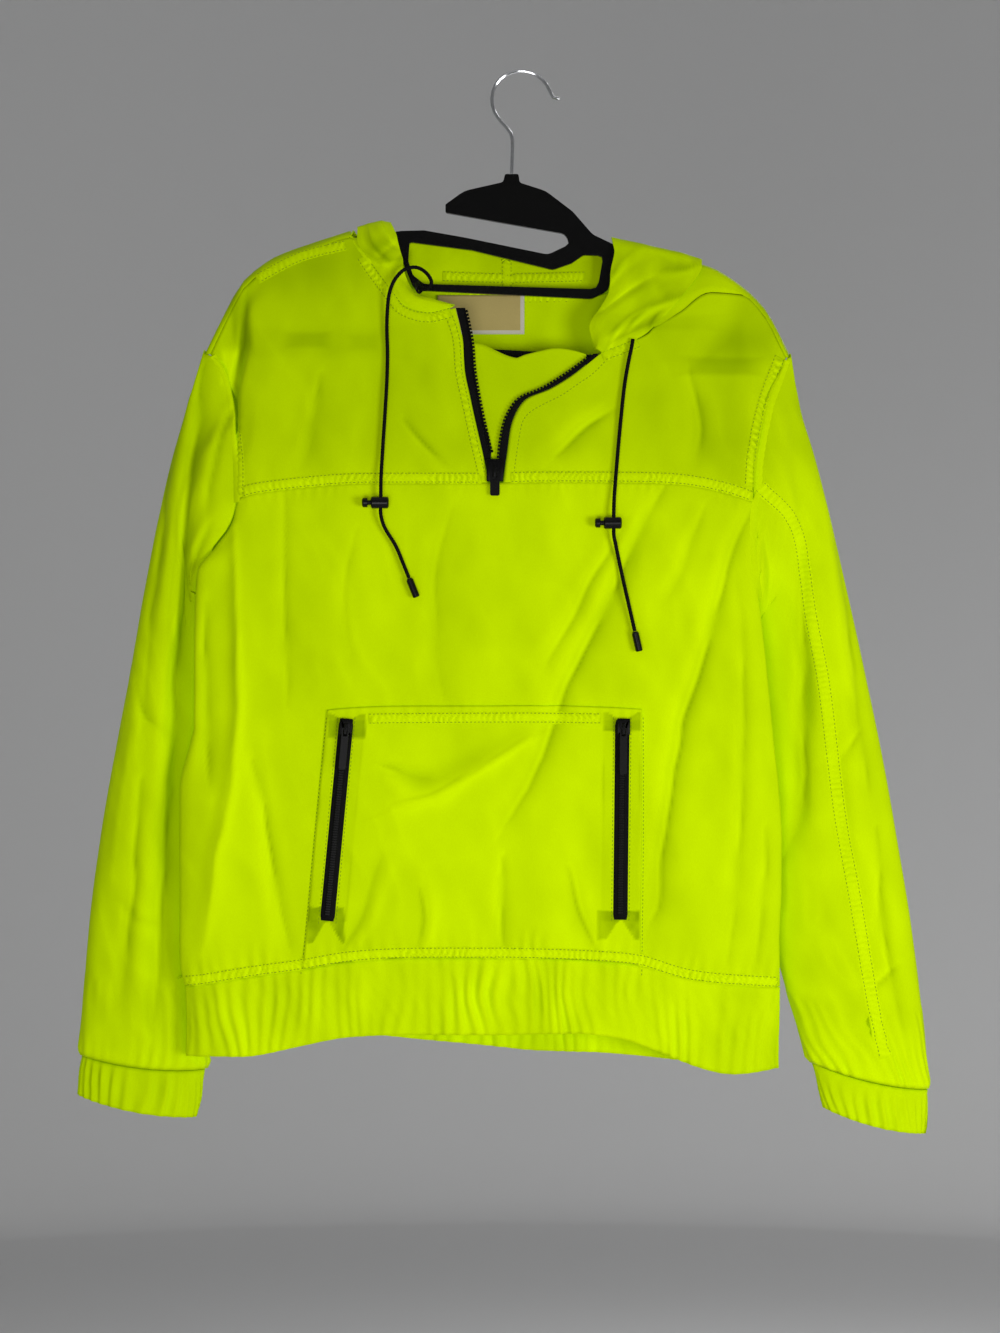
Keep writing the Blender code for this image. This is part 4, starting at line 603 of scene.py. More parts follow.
frontCreases = (                     # width, depth, then the places that the crease runs through
    (4, 1.2, (-231, -172), (-235, -188), (-240, -231), (-243, -260), (-244, -311), (-240, -326)),
    (9, 1.7, (193, -367), (181, -394), (168, -447), (150, -507), (129, -572), (120, -638), (111, -716),
     (99, -744)),
    (8, 1.5, (116, -354), (92, -407), (74, -447), (52, -489), (28, -546), (13, -590), (-14, -633)),
    (7, 1.2, (77, -287), (54, -304), (27, -328)),
    (6, 0.7, (-199, -357), (-200, -430), (-197, -537)),
    (7, 1.4, (-228, -584), (-216, -632), (-204, -701), (-197, -740)),
    (6, -1.6, (-243, -386), (-240, -470), (-241, -566), (-256, -660), (-270, -745)),
    (7, 1.5, (-266, -452), (-268, -520), (-262, -602)),
    (9, -1.5, (5, -566), (-30, -587), (-73, -610), (-108, -624)),
    (8, 1.2, (-117, -588), (-96, -594), (-76, -597)),
    (6, 1.0, (-17, -665), (-18, -705), (-17, -744)),
    (6, 1.1, (-150, -742), (-134, -705), (-120, -662)),
    (7, 1.0, (60, -742), (44, -708), (36, -672)),
    (5, 0.9, (-90, -744), (-84, -716), (-88, -690)),
    (6, 0.9, (86, -380), (62, -425), (38, -470), (20, -500)),
    (6, 0.8, (150, -372), (138, -410), (118, -452)),
    (7, 0.45, (-60, -372), (-72, -420), (-74, -480), (-66, -530)),
    (6, 0.4, (-140, -390), (-150, -440), (-146, -500)),
    (6, 0.8, (-170, -260), (-176, -300), (-186, -338)),
    (7, 0.8, (140, -255), (150, -300), (144, -338)),
    (5, 0.8, (-100, -296), (-84, -318), (-62, -338)),
    (6, 0.8, (178, -430), (186, -520), (184, -610), (178, -700), (172, -752)),
    (5, 0.7, (204, -640), (202, -700), (196, -752)))
backCreases = (
    (11, 1.0, (-226, -330), (-206, -420), (-178, -530), (-164, -640)),
    (12, -0.9, (-186, -400), (-150, -520), (-128, -640), (-122, -730)),
    (9, 1.1, (172, -350), (160, -440), (128, -560), (104, -660)),
    (10, 0.8, (-60, -470), (-76, -560), (-70, -660)),
    (10, -0.7, (30, -460), (22, -560), (40, -650)),
    (8, 1.1, (-240, -420), (-236, -520), (-244, -640), (-250, -740)),
    (8, -1.1, (185, -420), (180, -520), (186, -620), (180, -740)),
    (7, 1.0, (-120, -742), (-104, -690), (-98, -620)),
    (7, 0.9, (66, -742), (56, -700), (70, -640)),
    (6, 0.8, (-30, -744), (-24, -716), (-34, -680)),
    (6, 0.9, (-190, -744), (-182, -700), (-188, -652)),
    (6, 0.8, (130, -742), (124, -704), (132, -664)))
sleeveCreases = (
    (4, 1.5, (-242, -281), (-248, -290), (-257, -317), (-265, -351), (-267, -372)),
    (4, 1.3, (-265, -384), (-272, -400), (-281, -422)),
    (3, 1.0, (-262, -416), (-255, -428), (-249, -440)),
    (8, 1.8, (-271, -238), (-274, -297), (-286, -392), (-293, -481), (-299, -582), (-305, -685),
     (-314, -804)),
    (6, 1.2, (-300, -300), (-306, -390), (-318, -470), (-322, -560)),
    (6, 1.1, (-324, -600), (-330, -690), (-342, -790)),
    (5, 0.9, (-330, -520), (-322, -545), (-305, -560)),
    (5, 0.8, (-344, -700), (-330, -716), (-312, -722)),
    (7, 1.6, (238, -414), (238, -500), (238, -609), (219, -671)),
    (6, 1.2, (262, -330), (270, -420), (282, -520), (292, -610)),
    (6, 1.1, (300, -640), (306, -730), (322, -820)),
    (5, 0.9, (284, -560), (270, -580), (256, -586)),
    (5, 0.8, (316, -760), (300, -774), (288, -776)))
hoodCreases = (
    (5, 1.0, (70, -225), (92, -208), (118, -196), (146, -188)),
    (4, 0.9, (74, -232), (98, -219), (124, -209)),
    (4, -0.8, (66, -205), (88, -186), (112, -172)),
    (4, 0.8, (70, -180), (84, -162), (98, -150)),
    (3, 0.7, (84, -226), (90, -214), (100, -204)), (3, 0.7, (104, -220), (112, -208), (122, -202)),
    (4, 0.9, (-96, -150), (-108, -166), (-112, -184)), (4, -0.8, (-104, -140), (-120, -156), (-126, -166)),
    (3, 0.7, (-84, -196), (-96, -190), (-104, -180)), (3, 0.7, (-74, -198), (-84, -190), (-90, -176)),
    (5, 1.1, (-132, -134), (-126, -150), (-112, -164)), (4, 0.9, (-138, -150), (-124, -160), (-106, -160)),
    (4, -0.9, (-122, -128), (-112, -146), (-104, -150)), (5, 0.9, (112, -172), (132, -168), (150, -162)),
    (8, 1.1, (-96, -210), (-82, -260), (-84, -320), (-64, -366)),
    (9, -0.9, (84, -210), (66, -262), (58, -320)), (7, 1.0, (112, -230), (104, -280), (82, -330)),
    (7, 0.9, (-40, -200), (-34, -262), (-46, -330)), (8, 0.8, (24, -220), (14, -280), (22, -350)))
calmLines = (                        # beside the zips and under the cords the cloth lies flatter
    ((-58, -202), (-52, -229), (-50, -257), (-44, -285), (-38, -313), (-26, -350)),
    ((63, -241), (39, -260), (12, -275), (-2, -282), (-9, -294), (-20, -350)),
    ((-156, -546), (-167, -640), (-176, -736)), ((90, -546), (90, -640), (89, -736)),
    ((-88, -187), (-93, -169), (-115, -204), (-116, -270), (-120, -345)),
    ((91, -229), (83, -270), (77, -336)))
seamLines = {
    "yoke": ((-241, -363), (-229, -359), (-200, -355), (-158, -351), (-117, -350), (-34, -350),
             (18, -349), (119, -350), (165, -357), (193, -366)),
    "hem": ((-291, -773), (-272, -771), (-231, -764), (-189, -758), (-147, -751), (-97, -748),
            (-13, -748), (53, -750), (96, -754), (142, -767), (216, -774)),
    "armholeRight": ((224, -243), (207, -287), (199, -327), (197, -354), (194, -366)),
    "armholeLeft": ((-247, -290), (-243, -330), (-242, -363)),
    "pocketTop": ((-163, -543), (-60, -542), (98, -543))}


puckers = {                          # seam, pitch, reach, depth, seed
    "front": (("yoke", 8.5, 9, 0.42, 11), ("pocketTop", 9.5, 8, 0.3, 17), ("armholeRight", 8, 9, 0.35, 13),
              ("armholeLeft", 8, 9, 0.35, 15), ("hem", 11.2, 19, 0.85, 19)),
    "back": (("hem", 11.2, 19, 0.85, 29),)}
puckerLow = -790                     # no puckers lower than this
swells = {                           # height, size, lean of x along z and of z along x, seed
    "front": ((0.75, (34, 85), (0, 0), 3), (0.35, (15, 40), (0.25, 0), 4), (0.12, (6.5, 12), (0, 0), 5)),
    "back": ((0.8, (36, 80), (0, 0), 23), (0.35, (15, 40), (-0.2, 0), 24), (0.16, (6.5, 12), (0, 0), 25)),
    "sleeve": ((0.6, (20, 60), (0, 0), 33), (0.3, (10, 24), (0.4, 0), 34)),
    "hood": ((0.9, (26, 30), (0, 0), 43), (0.5, (12, 15), (0.5, -0.3), 44), (0.25, (6, 8), (-0.4, 0), 45)),
    "hem": ((0.5, (9, 40), (0.3, 0), 53), (0.25, (4, 12), (0.6, 0), 54), (1.0, (19, 60), (-0.2, 0), 55)),
    "cuff": ((0.35, (6, 16), (0, 0), 63),),
    "tone": ((0.08, (60, 90), (0, 0), 71), (0.04, (14, 20), (0, 0), 72))}
crinkles = {                         # height, size, seed
    "front": (0.55, (21, 58), 6), "back": (0.6, (23, 52), 26), "sleeve": (0.6, (15, 44), 36),
    "hood": (0.55, (15, 22), 46)}
calm = {"least": 0.25, "from": 6, "over": 16}
rearShift = (9, 22)                  # moves the sleeves' creases on the rear side
faceSharpness = 1.6


def swellsOf(x, z, kind):
    height = np.zeros(x.shape)
    for depth, size, (leanX, leanZ), seed in swells[kind]:
        height += depth * noise(x + leanX * z, z + leanZ * x, size, seed)
    return height


def crinkledSwells(x, z, kind):
    depth, size, seed = crinkles[kind]
    return swellsOf(x, z, kind) + depth * crinkleHeight(x, z, size, seed)


def seamPuckers(x, z, kind):
    height = np.zeros(x.shape)
    for seam, pitch, reach, depth, seed in puckers[kind]:
        height += puckerHeight(x, z, seamLines[seam], pitch, reach, depth, seed)
    return height * (z > puckerLow)


def frontHeight(x, z):
    height = creaseHeight(x, z, frontCreases) + crinkledSwells(x, z, "front")
    still = np.ones(x.shape)
    for line in calmLines:
        away = np.abs(nearLine(x, z, line)[0])
        share = smoothStep((away - calm["from"]) / calm["over"])
        still = np.minimum(still, calm["least"] + (1 - calm["least"]) * share)
    return height * still + seamPuckers(x, z, "front")


def backHeight(x, z):
    return creaseHeight(x, z, backCreases) + crinkledSwells(x, z, "back") + seamPuckers(x, z, "back")


def sleeveHeight(x, z, normals):
    facing = normals[..., 1]
    shiftX, shiftZ = rearShift
    front = creaseHeight(x, z, sleeveCreases) * smoothStep(-facing * faceSharpness)
    rear = creaseHeight(x + shiftX, z + shiftZ, sleeveCreases) * smoothStep(facing * faceSharpness)
    return 0.8 * (front + rear) + crinkledSwells(x, z, "sleeve") * np.abs(facing)


def hoodHeight(x, z):
    return creaseHeight(x, z, hoodCreases) + crinkledSwells(x, z, "hood")


# Cloth pieces: thin shells on the frame's solids

cloth = {                            # steps between rows and between columns, soften passes, relief
    "thickness": 0.8,
    "front_body": {"steps": (2.5, 2.3), "soften": 2, "relief": "front"},
    "back_body": {"steps": (3.8, 3.8), "soften": 1, "relief": "back"},
    "front_yoke_left": {"steps": (2.1, 2.1), "soften": 2, "relief": "front"},
    "front_yoke_right": {"steps": (2.1, 2.1), "soften": 2, "relief": "front"},
    "hem_band_front": {"steps": (3.0, 1.8), "soften": 0, "relief": "hem", "gathers": (11.0, 0.5)},
    "hem_band_back": {"steps": (3.0, 1.8), "soften": 0, "relief": "hem", "gathers": (11.0, 0.5)},
    "hood_left": {"steps": (2.6, 2.2), "soften": 1, "relief": "hood"},
    "hood_right": {"steps": (2.6, 2.2), "soften": 1, "relief": "hood"},
    "pocket_panel": {"steps": (1.75, 1.75), "soften": 2, "relief": "front"},
    "zip_guard": {"steps": (2.2, 2.2), "soften": 0, "relief": "none"},
    "sleeve_left": {"steps": (3.2, 2.6), "soften": 0, "relief": "sleeve"},
    "sleeve_right": {"steps": (3.2, 2.6), "soften": 0, "relief": "sleeve"},
    "cuff_left": {"steps": (3.0, 1.5), "soften": 0, "relief": "cuff", "gathers": (8.5, 0.4)},
    "cuff_right": {"steps": (3.0, 1.5), "soften": 0, "relief": "cuff", "gathers": (8.5, 0.4)}}
rim = {"x": -46, "wide": 24, "lift": 7.0, "from": -176, "over": 24}
dip = {"x": -7, "wide": 30, "drop": 4.6, "from": -275, "over": 38}
underarms = {
    "sleeve_left": {"x": -284, "z": -438, "reach": 38, "near": 18, "way": 1, "shift": 6.5},
    "sleeve_right": {"x": 203, "z": -430, "reach": 42, "near": 20, "way": -1, "shift": 8.0}}
# Painted shade: the cloth is darker towards the top and on the left sleeve, where less light falls
paintedFalloff = {"top": 0.2, "from": -372, "over": 60, "side": 0.16, "sideAt": -246, "sideOver": 30}
# Painted shade over the yokes and hood, mostly where the hanger lies behind the thin cloth; the one negative
# strength paints a lighter spot
shadePlaces = (                      # x, z, half width, half height, lean, strength, softness
    (-240, -212, 8, 24, -0.12, 0.34, 0.4), (-183, -229, 17, 6, 0.05, 0.2, 0.4),
    (197, -213, 25, 28, 0.5, 0.26, 0.5), (166, -251, 31, 7, 0.05, 0.26, 0.4),
    (-249, -250, 7, 13, 0.0, -0.4, 0.5), (120, -214, 40, 6, -0.2, 0.12, 0.5),
    (-172, -231, 58, 11, 0.0, 0.1, 0.6), (-135, -231, 12, 6, 0.0, 0.1, 0.5),
    (-180, -165, 52, 22, 1.6, 0.2, 0.8), (168, -232, 50, 14, 0.0, 0.1, 0.7))
# The share by height paints shade in the relief's hollows and light on its ridges
tones = {"level": 0.80, "paintedShadeByHeight": 0.12, "darkest": -0.4, "lightest": 0.16}
patches = {"strength": 0.7, "soft": 1.4, "wedge": 10.0, "strip": 0.1, "stripFar": 15.5, "edge": 0.2,
           "edgeWidth": 1.3}
pocketMiddle = -600
patchPlaces = (                      # left, right, top, bottom, then the zip's end
    (-164.5, -133.0, -543.5, -564.0, -149.4, -549.5), (-182.0, -151.0, -705.5, -735.5, -165.4, -718),
    (66.0, 97.0, -542.5, -558.0, 81.7, -549.5), (61.0, 96.5, -708.5, -732.5, 80.0, -717.0))


def patchTone(x, z):
    tone = np.zeros(x.shape)
    for left, right, top, bottom, middle, end in patchPlaces:
        inside = np.minimum(np.minimum(x - left, right - x), np.minimum(top - z, z - bottom))
        cover = smoothStep(0.5 + inside / patches["soft"])
        outer = top if end > pocketMiddle else bottom
        away = (z - end) / (outer - end)
        wedge = smoothStep(0.5 + (2 + patches["wedge"] * away - np.abs(x - middle)) / patches["soft"])
        wedge = wedge * (away > 0)
        tone -= cover * patches["strength"] * (0.75 + 0.25 * noise(x, z, (5, 7), 75)) * (1 - wedge)
    for upper, lower in (patchPlaces[:2], patchPlaces[2:]):
        t = (z - upper[5]) / (lower[5] - upper[5])
        middle = upper[4] + (lower[4] - upper[4]) * t
        strip = smoothStep(0.5 + (patches["stripFar"] - np.abs(x - middle)) / patches["soft"])
        edge = np.exp(-((np.abs(x - middle) - patches["stripFar"]) / patches["edgeWidth"]) ** 2)
        edge = edge * smoothStep(0.5 + noise(x, z, (90, 24), 77))
        tone -= (patches["strip"] * strip + patches["edge"] * edge) * (t > 0) * (t < 1)
    return tone


def paintedFalloffAt(z):
    return paintedFalloff["top"] * smoothStep((z - paintedFalloff["from"]) / paintedFalloff["over"])


# The cloth's tone: random variation, plus painted shade in the relief's hollows, towards the top, on the
# left side and over the hanger, and painted light on the ridges
def toneOf(points, height):
    x, z = points[..., 0], points[..., 2]
    tone = tones["level"] + swellsOf(x, z, "tone")
    # painted shade in the hollows and painted light on the ridges
    tone = tone + np.clip(tones["paintedShadeByHeight"] * height, tones["darkest"], tones["lightest"])
    # painted shade towards the top and on the left side
    tone = tone - paintedFalloffAt(z)
    tone = tone - paintedFalloff["side"] * smoothStep((paintedFalloff["sideAt"] - x) / paintedFalloff["sideOver"])
    # painted shade of the hanger through the cloth
    for a, b, wide, high, lean, strength, soft in shadePlaces:
        dx, dz = x - a - lean * (z - b), z - b
        edge = np.maximum(np.abs(dx) / wide, np.abs(dz) / high)
        tone = tone - strength * (1 - smoothStep((edge - 1 + soft) / (2 * soft)))
    return tone


def reliefOf(kind, grid, normals):
    x, z = grid[..., 0], grid[..., 2]
    facing = np.abs(normals[..., 1]) ** 0.5
    if kind == "front":
        return frontHeight(x, z) * facing
    if kind == "back":
        return np.where(normals[..., 1] > 0, backHeight(x, z), frontHeight(x, z)) * facing
    if kind in ("hem", "cuff"):
        return swellsOf(x, z, kind) * facing
    if kind == "hood":
        return hoodHeight(x, z) * facing
    if kind == "sleeve":
        return sleeveHeight(x, z, normals)
    return 0 * x


unevenness = {"sway": 0.9, "lean": 0.22, "swaySize": (4.2, 70), "fine": 0.25, "fineSize": (20, 30),
              "full": 1.05, "vary": 1.2, "varySize": (2.9, 45), "least": 0.06, "most": 1.25, "seed": 301}


def uneven(grid, pitch, share, closed):
    columns = grid.shape[1]
    step = np.linalg.norm(np.diff(grid[0], axis=0), axis=1).mean()
    reach = max(2, round(pitch / step))
    ends = "wrap" if closed else "edge"
    wide = np.pad(grid, ((0, 0), (reach, reach), (0, 0)), mode=ends)
    level = sum(wide[:, k:k + columns] for k in range(2 * reach + 1)) / (2 * reach + 1)
    detail = grid - level
    run = np.arange(columns)[None, :] * step + 0 * grid[..., 2]
    z = grid[..., 2]
    seed = unevenness["seed"]
    length, height = unevenness["swaySize"]
    sway = unevenness["sway"] * noise(run + unevenness["lean"] * z, z, (length * pitch, height), seed)
    sway = pitch * (sway + unevenness["fine"] * noise(run, z, unevenness["fineSize"], seed + 1))
    length, height = unevenness["varySize"]
    vary = unevenness["vary"] * share * noise(run, z, (length * pitch, height), seed + 2)
    strength = np.clip(unevenness["full"] - share + vary, unevenness["least"], unevenness["most"])
    at = np.arange(columns)[None, :] + sway / step
    k = np.floor(at).astype(int)
    f = (at - k)[..., None]
    rows = np.arange(len(grid))[:, None]
    low, high = (k % columns, (k + 1) % columns) if closed else (
        np.clip(k, 0, columns - 1), np.clip(k + 1, 0, columns - 1))
    return level + strength[..., None] * (detail[rows, low] * (1 - f) + detail[rows, high] * f)


sleeveEnds = {"reach": 17, "pitch": 9.5, "depth": 1.7, "sway": 3, "swaySize": (17, 26),
              "varySize": (21, 30), "fullOver": 6, "puff": 1.6, "seed": 311}


def endGathers(grid):
    reach, depth, seed = sleeveEnds["reach"], sleeveEnds["depth"], sleeveEnds["seed"]
    columns = grid.shape[1]
    gap = np.linalg.norm(grid - grid[-1:], axis=2)
    step = np.linalg.norm(np.diff(grid[-1], axis=0), axis=1).mean()
    run = np.arange(columns)[None, :] * step + 0 * gap
    sway = run + sleeveEnds["sway"] * noise(run, gap, sleeveEnds["swaySize"], seed)
    vary = 0.6 + 0.7 * noise(run, gap, sleeveEnds["varySize"], seed + 1)
    wave = np.cos(2 * math.pi * sway / sleeveEnds["pitch"]) * vary
    fullness = smoothStep(gap / sleeveEnds["fullOver"]) * np.exp(-gap / reach)
    return depth * wave * (0.25 + fullness) * (gap < 4 * reach) + sleeveEnds["puff"] * depth * fullness


def setTone(piece, tone):
    layer = piece.data.attributes.new("tone", "FLOAT", "POINT")
    layer.data.foreach_set("value", np.ravel(tone).astype(np.float32))


def fitEdges(name, grid, normals):
    x, z = grid[..., 0], grid[..., 2]
    if name == "hood_left":           # the rim rises behind the hanger's bar
        near = np.exp(-((x - rim["x"]) / rim["wide"]) ** 2)
        grid[..., 2] += rim["lift"] * near * np.clip((z - rim["from"]) / rim["over"], 0, 1)
    if name == "zip_guard":           # its top edge dips at the middle
        near = np.clip(1 - np.abs(x - dip["x"]) / dip["wide"], 0, 1)
        grid[..., 2] -= dip["drop"] * near * np.clip((z - dip["from"]) / dip["over"], 0, 1)
    if name in underarms:             # the underarm meets the side of the body
        spot = underarms[name]
        reach = np.exp(-((z - spot["z"]) / spot["reach"]) ** 4)
        inside = np.clip(spot["way"] * normals[..., 0], 0, 1) ** 0.5
        near = np.abs(x - spot["x"]) < spot["near"]
        grid[..., 0] += spot["way"] * spot["shift"] * reach * inside * near


def addCloth(name):
    spec = cloth[name]
    closed = name in tubes
    grid = tubeGrid(name) if closed else panelGrid(name)
    grid = softened(refined(grid, *spec["steps"], closed), spec["soften"])
    outward = None if closed else towards[panels[name][0]]
    if "gathers" in spec:
        grid = uneven(grid, *spec["gathers"], closed)
    normals = normalsOf(grid, closed, outward)
    height = reliefOf(spec["relief"], grid, normals)
    if spec["relief"] == "sleeve":
        height = height + endGathers(grid)
    grid = grid + normals * height[..., None]
    fitEdges(name, grid, normals)
    faces = facesTowards(grid, normals[0, 0], closed)
    piece = addMesh(name + "_cloth", grid.reshape(-1, 3), faces, "cloth")
    tone = toneOf(grid, height)
    # painted shade and highlight along the creases
    if spec["relief"] in creaseRows:
        tone = tone + paintedCreaseShade(grid[..., 0], grid[..., 2], creaseRows[spec["relief"]])
    if name == "pocket_panel":
        tone = tone + patchTone(grid[..., 0], grid[..., 2])
    setTone(piece, np.clip(tone, 0, 1))
    thicken(piece, cloth["thickness"])
    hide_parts(name)
    return grid, faces


creaseRows = {"front": frontCreases, "back": backCreases, "sleeve": sleeveCreases, "hood": hoodCreases}
surfaces = [addCloth(clothName) for clothName in cloth if clothName != "thickness"]
stageNote("cloth")


# Seams: a puckered band between two rows of stitches, laid on the cloth that is under it

bands = {"width": 11.5, "samples": 9, "step": 1.5, "puff": 0.7, "pucker": 0.66, "pitch": 5.2,
         "slant": 1.6, "sway": 2.5, "round": 3.2, "rowAt": 0.64, "groove": 0.5, "grooveWide": 0.13,
         "lift": 0.12, "tuck": 0.45, "tuckFrom": 0.98, "ends": 3, "reach": 3.5, "facing": 0.3,
         "puckerShade": 0.5}
stitches = {"pitch": 3.3, "length": 2.4, "radius": 0.42, "sink": 0.12}
rays = {"from": 300, "near": 25}     # how far from the plane y = 0 a ray and a search start


def clothTree():
    points, faces, first = [], [], 0
    for grid, quads in surfaces:
        points.append(grid.reshape(-1, 3))
        faces.append(quads + first)
        first += len(points[-1])
    points = np.vstack(points)
    return BVHTree.FromPolygons(points.tolist(), np.vstack(faces).tolist(), epsilon=0.0)


tree = clothTree()


def onCloth(line, step, aim="front"):
    way = Vector(towards[aim])
    path, out = [], []
    for x, z in spline(line, step):
        start = Vector((x, 0, z)) + way * rays["from"]
        hit, normal, index, distance = tree.ray_cast(start, -way)
        if hit is None:
            hit, normal, index, distance = tree.find_nearest(Vector((x, 0, z)) + way * rays["near"])
        path.append(hit)
        out.append(normal if normal.dot(way) > 0 else -normal)
    return settled(np.array(path)), settled(unit(np.array(out)), 3)


def settled(path, passes=2):
    path = path.copy()
    for _ in range(passes):
        path[1:-1] = (path[:-2] + 2 * path[1:-1] + path[2:]) / 4
    return path


def bandPoints(path, out, offsets, heights):
    across = unit(np.cross(np.gradient(path, axis=0), out))
    made = np.zeros((len(path), len(offsets), 3))
    lift = np.zeros(made.shape)
    for i, (point, side, up) in enumerate(zip(path, across, out)):
        for j, offset in enumerate(offsets):
            wanted = Vector(point + side * offset)
            hit, normal, index, distance = tree.find_nearest(wanted)
            if normal.dot(Vector(up)) < 0:
                normal = -normal
            if hit is None or distance > bands["reach"] or normal.dot(Vector(up)) < bands["facing"]:
                hit, normal = wanted, Vector(up)
            made[i, j], lift[i, j] = hit, normal
    made = settled(made)
    return made + unit(lift) * heights[..., None], unit(lift)


def domeAt(u):
    return np.clip(1 - np.abs(u) ** bands["round"], 0, 1)


def bandHeights(count, offsets, half, seed, puff=1.0):
    s = np.arange(count)[:, None] * bands["step"]
    u = (offsets / half)[None, :]
    sway = bands["slant"] * u + bands["sway"] * noise(s, u * 3, (17, 2), seed)
    wave = np.cos(2 * math.pi * (s + sway) / bands["pitch"])
    wave = wave * (0.55 + 0.75 * noise(s, u * 4, (15, 3), seed + 1))
    groove = np.exp(-((np.abs(u) - bands["rowAt"]) / bands["grooveWide"]) ** 2)
    height = domeAt(u) * (bands["puff"] + bands["pucker"] * wave) - bands["groove"] * groove
    ends = smoothStep(s / bands["ends"]) * smoothStep((s[-1] - s) / bands["ends"])
    return bands["lift"] + puff * height * ends - bands["tuck"] * (np.abs(u) > bands["tuckFrom"])


def stitchMesh(path, out):
    pitch, half, radius = stitches["pitch"], stitches["length"] / 2, stitches["radius"]
    run = runAlong(path)
    at = np.arange(pitch / 2, run[-1] - half, pitch)
    centre = readAt(path, run, at)
    up = unit(readAt(out, run, at))
    ahead = unit(readAt(path, run, at + 0.5) - centre + 1e-6)
    side = np.cross(ahead, up)
    ring = [(1, 0), (0, 1), (-1, 0), (0, -1)]
    local = [(-half, 0, 0)]
    for place, size in ((-half * 0.62, 0.85), (0, 1.1), (half * 0.62, 0.85)):
        local += [(place, radius * size * a, radius * size * b) for a, b in ring]
    local = np.array(local + [(half, 0, 0)])
    faces = []
    for k in range(4):
        n = (k + 1) % 4
        faces += [(0, 1 + n, 1 + k), (13, 9 + k, 9 + n)]
        for base in (1, 5):
            faces += [(base + k, base + n, base + 4 + n), (base + k, base + 4 + n, base + 4 + k)]
    points = (centre[:, None] + local[None, :, :1] * ahead[:, None] + local[None, :, 1:2] * side[:, None]
              + (local[None, :, 2:] - stitches["sink"]) * up[:, None])
    count = len(centre)
    faces = (np.array(faces)[None] + 14 * np.arange(count)[:, None, None]).reshape(-1, 3)
    return points.reshape(-1, 3), faces


def addStitches(name, rows):
    points, faces, first = [], [], 0
    for path, out in rows:
        made, tris = stitchMesh(path, out)
        points.append(made)
        faces.append(tris + first)
        first += len(made)
    return addMesh(name, np.vstack(points), np.vstack(faces), "thread")


def addBand(name, path, out, width=bands["width"], seed=1, puff=1.0, tone=0.87):
    half = width / 2
    offsets = np.linspace(-half, half, bands["samples"])
    heights = bandHeights(len(path), offsets, half, seed, puff)
    grid, lift = bandPoints(path, out, offsets, heights)
    faces = facesTowards(grid, lift[0, 0])
    piece = addMesh(name, grid.reshape(-1, 3), faces, "cloth")
    # painted shade in the puckers' hollows and painted light on their crests
    level = bands["puff"] * domeAt(offsets / half)[None]
    # painted shade towards the top, as on the cloth
    tone = tone - paintedFalloffAt(grid[..., 2])
    setTone(piece, np.clip(tone + bands["puckerShade"] * (heights - puff * level), 0, 1))
    rows = []
    for u in (-bands["rowAt"], bands["rowAt"]):
        k = (u + 1) / 2 * (bands["samples"] - 1)
        i, f = int(k), k - int(k)
        rows.append((grid[:, i] * (1 - f) + grid[:, i + 1] * f, lift[:, i]))
    addStitches(name + "_stitches", rows)


def seamOn(name, line, aim="front", shift=(0, 0), **more):
    line = [(x + shift[0], z + shift[1]) for x, z in line]
    path, out = onCloth(line, bands["step"], aim)
    addBand(name, path, out, **more)


def stitchesOn(name, lines, aim="front"):
    addStitches(name, [onCloth(line, bands["step"], aim) for line in lines])


yokeLeft = [(-238, -362)] + [point for point in seamLines["yoke"] if -235 < point[0] < -40] + [(-36, -350)]
yokeRight = [(-12, -349.5)] + [point for point in seamLines["yoke"] if 0 < point[0] < 192] + [(191, -365)]
seams = {                            # line (x, z), side, shift of the whole line
    "yoke_seam_left": (yokeLeft, "front", (0, 4.3)),
    "yoke_seam_right": (yokeRight, "front", (0, 4.3)),
    "hem_seam_front": (seamLines["hem"], "front", (0, 4.3)),
    "hem_seam_back": (((-284, -772),) + seamLines["hem"][1:-1] + ((209, -773),), "back", (0, 4.3)),
    "pocket_seam_top": (((-131, -543.5), (-100, -543), (0, -542.5), (64, -543.3)), "front", (0, -4.2)),
    "armhole_seam_right": (seamLines["armholeRight"][:-1], "front", (-8, 1)),
    "armhole_seam_left": (((-243, -293), (-240, -330), (-240, -360)), "front", (0, 0)),
    "sleeve_seam_right": (((198, -352), (230, -388), (243, -464), (253, -517), (261.5, -584),
                           (268, -634), (279, -694), (286, -735), (295, -790), (305, -835)),
                          "front", (0, 0)),
    "shoulder_seam_left": (((-151, -143), (-190, -153), (-227, -172)), "front", (0, -4)),
    "neck_seam_left": (((-136, -154), (-129, -165), (-118, -180), (-109, -192), (-101, -201),
                        (-81, -207), (-60, -203)), "front", (-1.8, -3.4)),
    "neck_seam_right": (((97, -227.5), (84, -233), (66, -239.5)), "front", (-1, -3.6)),
    "hood_casing_inside": (((-70, -171.5), (-40, -172.5), (-13, -173), (20, -172.5), (52, -171.5)),
                           "front", (0, 0)),
    "hood_centre_inside": (((-15, -136), (-15, -160), (-15, -184)), "front", (0, 0)),
    "neck_tape_inside": (((-72, -187.5), (-40, -189), (-13, -190), (20, -189.5), (54, -189)),
                         "front", (0, 0)),
    "hood_centre_back": (((-15, -133), (-15, -200), (-15, -300), (-15, -362)), "back", (0, 0)),
    "armhole_back_left": (((-252, -250), (-243, -290), (-242, -330), (-243, -366)), "back", (9, 0)),
    "armhole_back_right": (((216, -250), (205, -290), (198, -330), (193, -366)), "back", (-9, 0))}
roughSeams = {                       # seams that differ from the others
    "sleeve_seam_right": {"width": 15.0, "puff": 0.6, "tone": 0.92},
    "armhole_seam_right": {"width": 13.0}}
for number, (seamName, (line, aim, shift)) in enumerate(seams.items()):
    seamOn(seamName, line, aim, shift, seed=200 + 7 * number, **roughSeams.get(seamName, {}))
stageNote("seams")

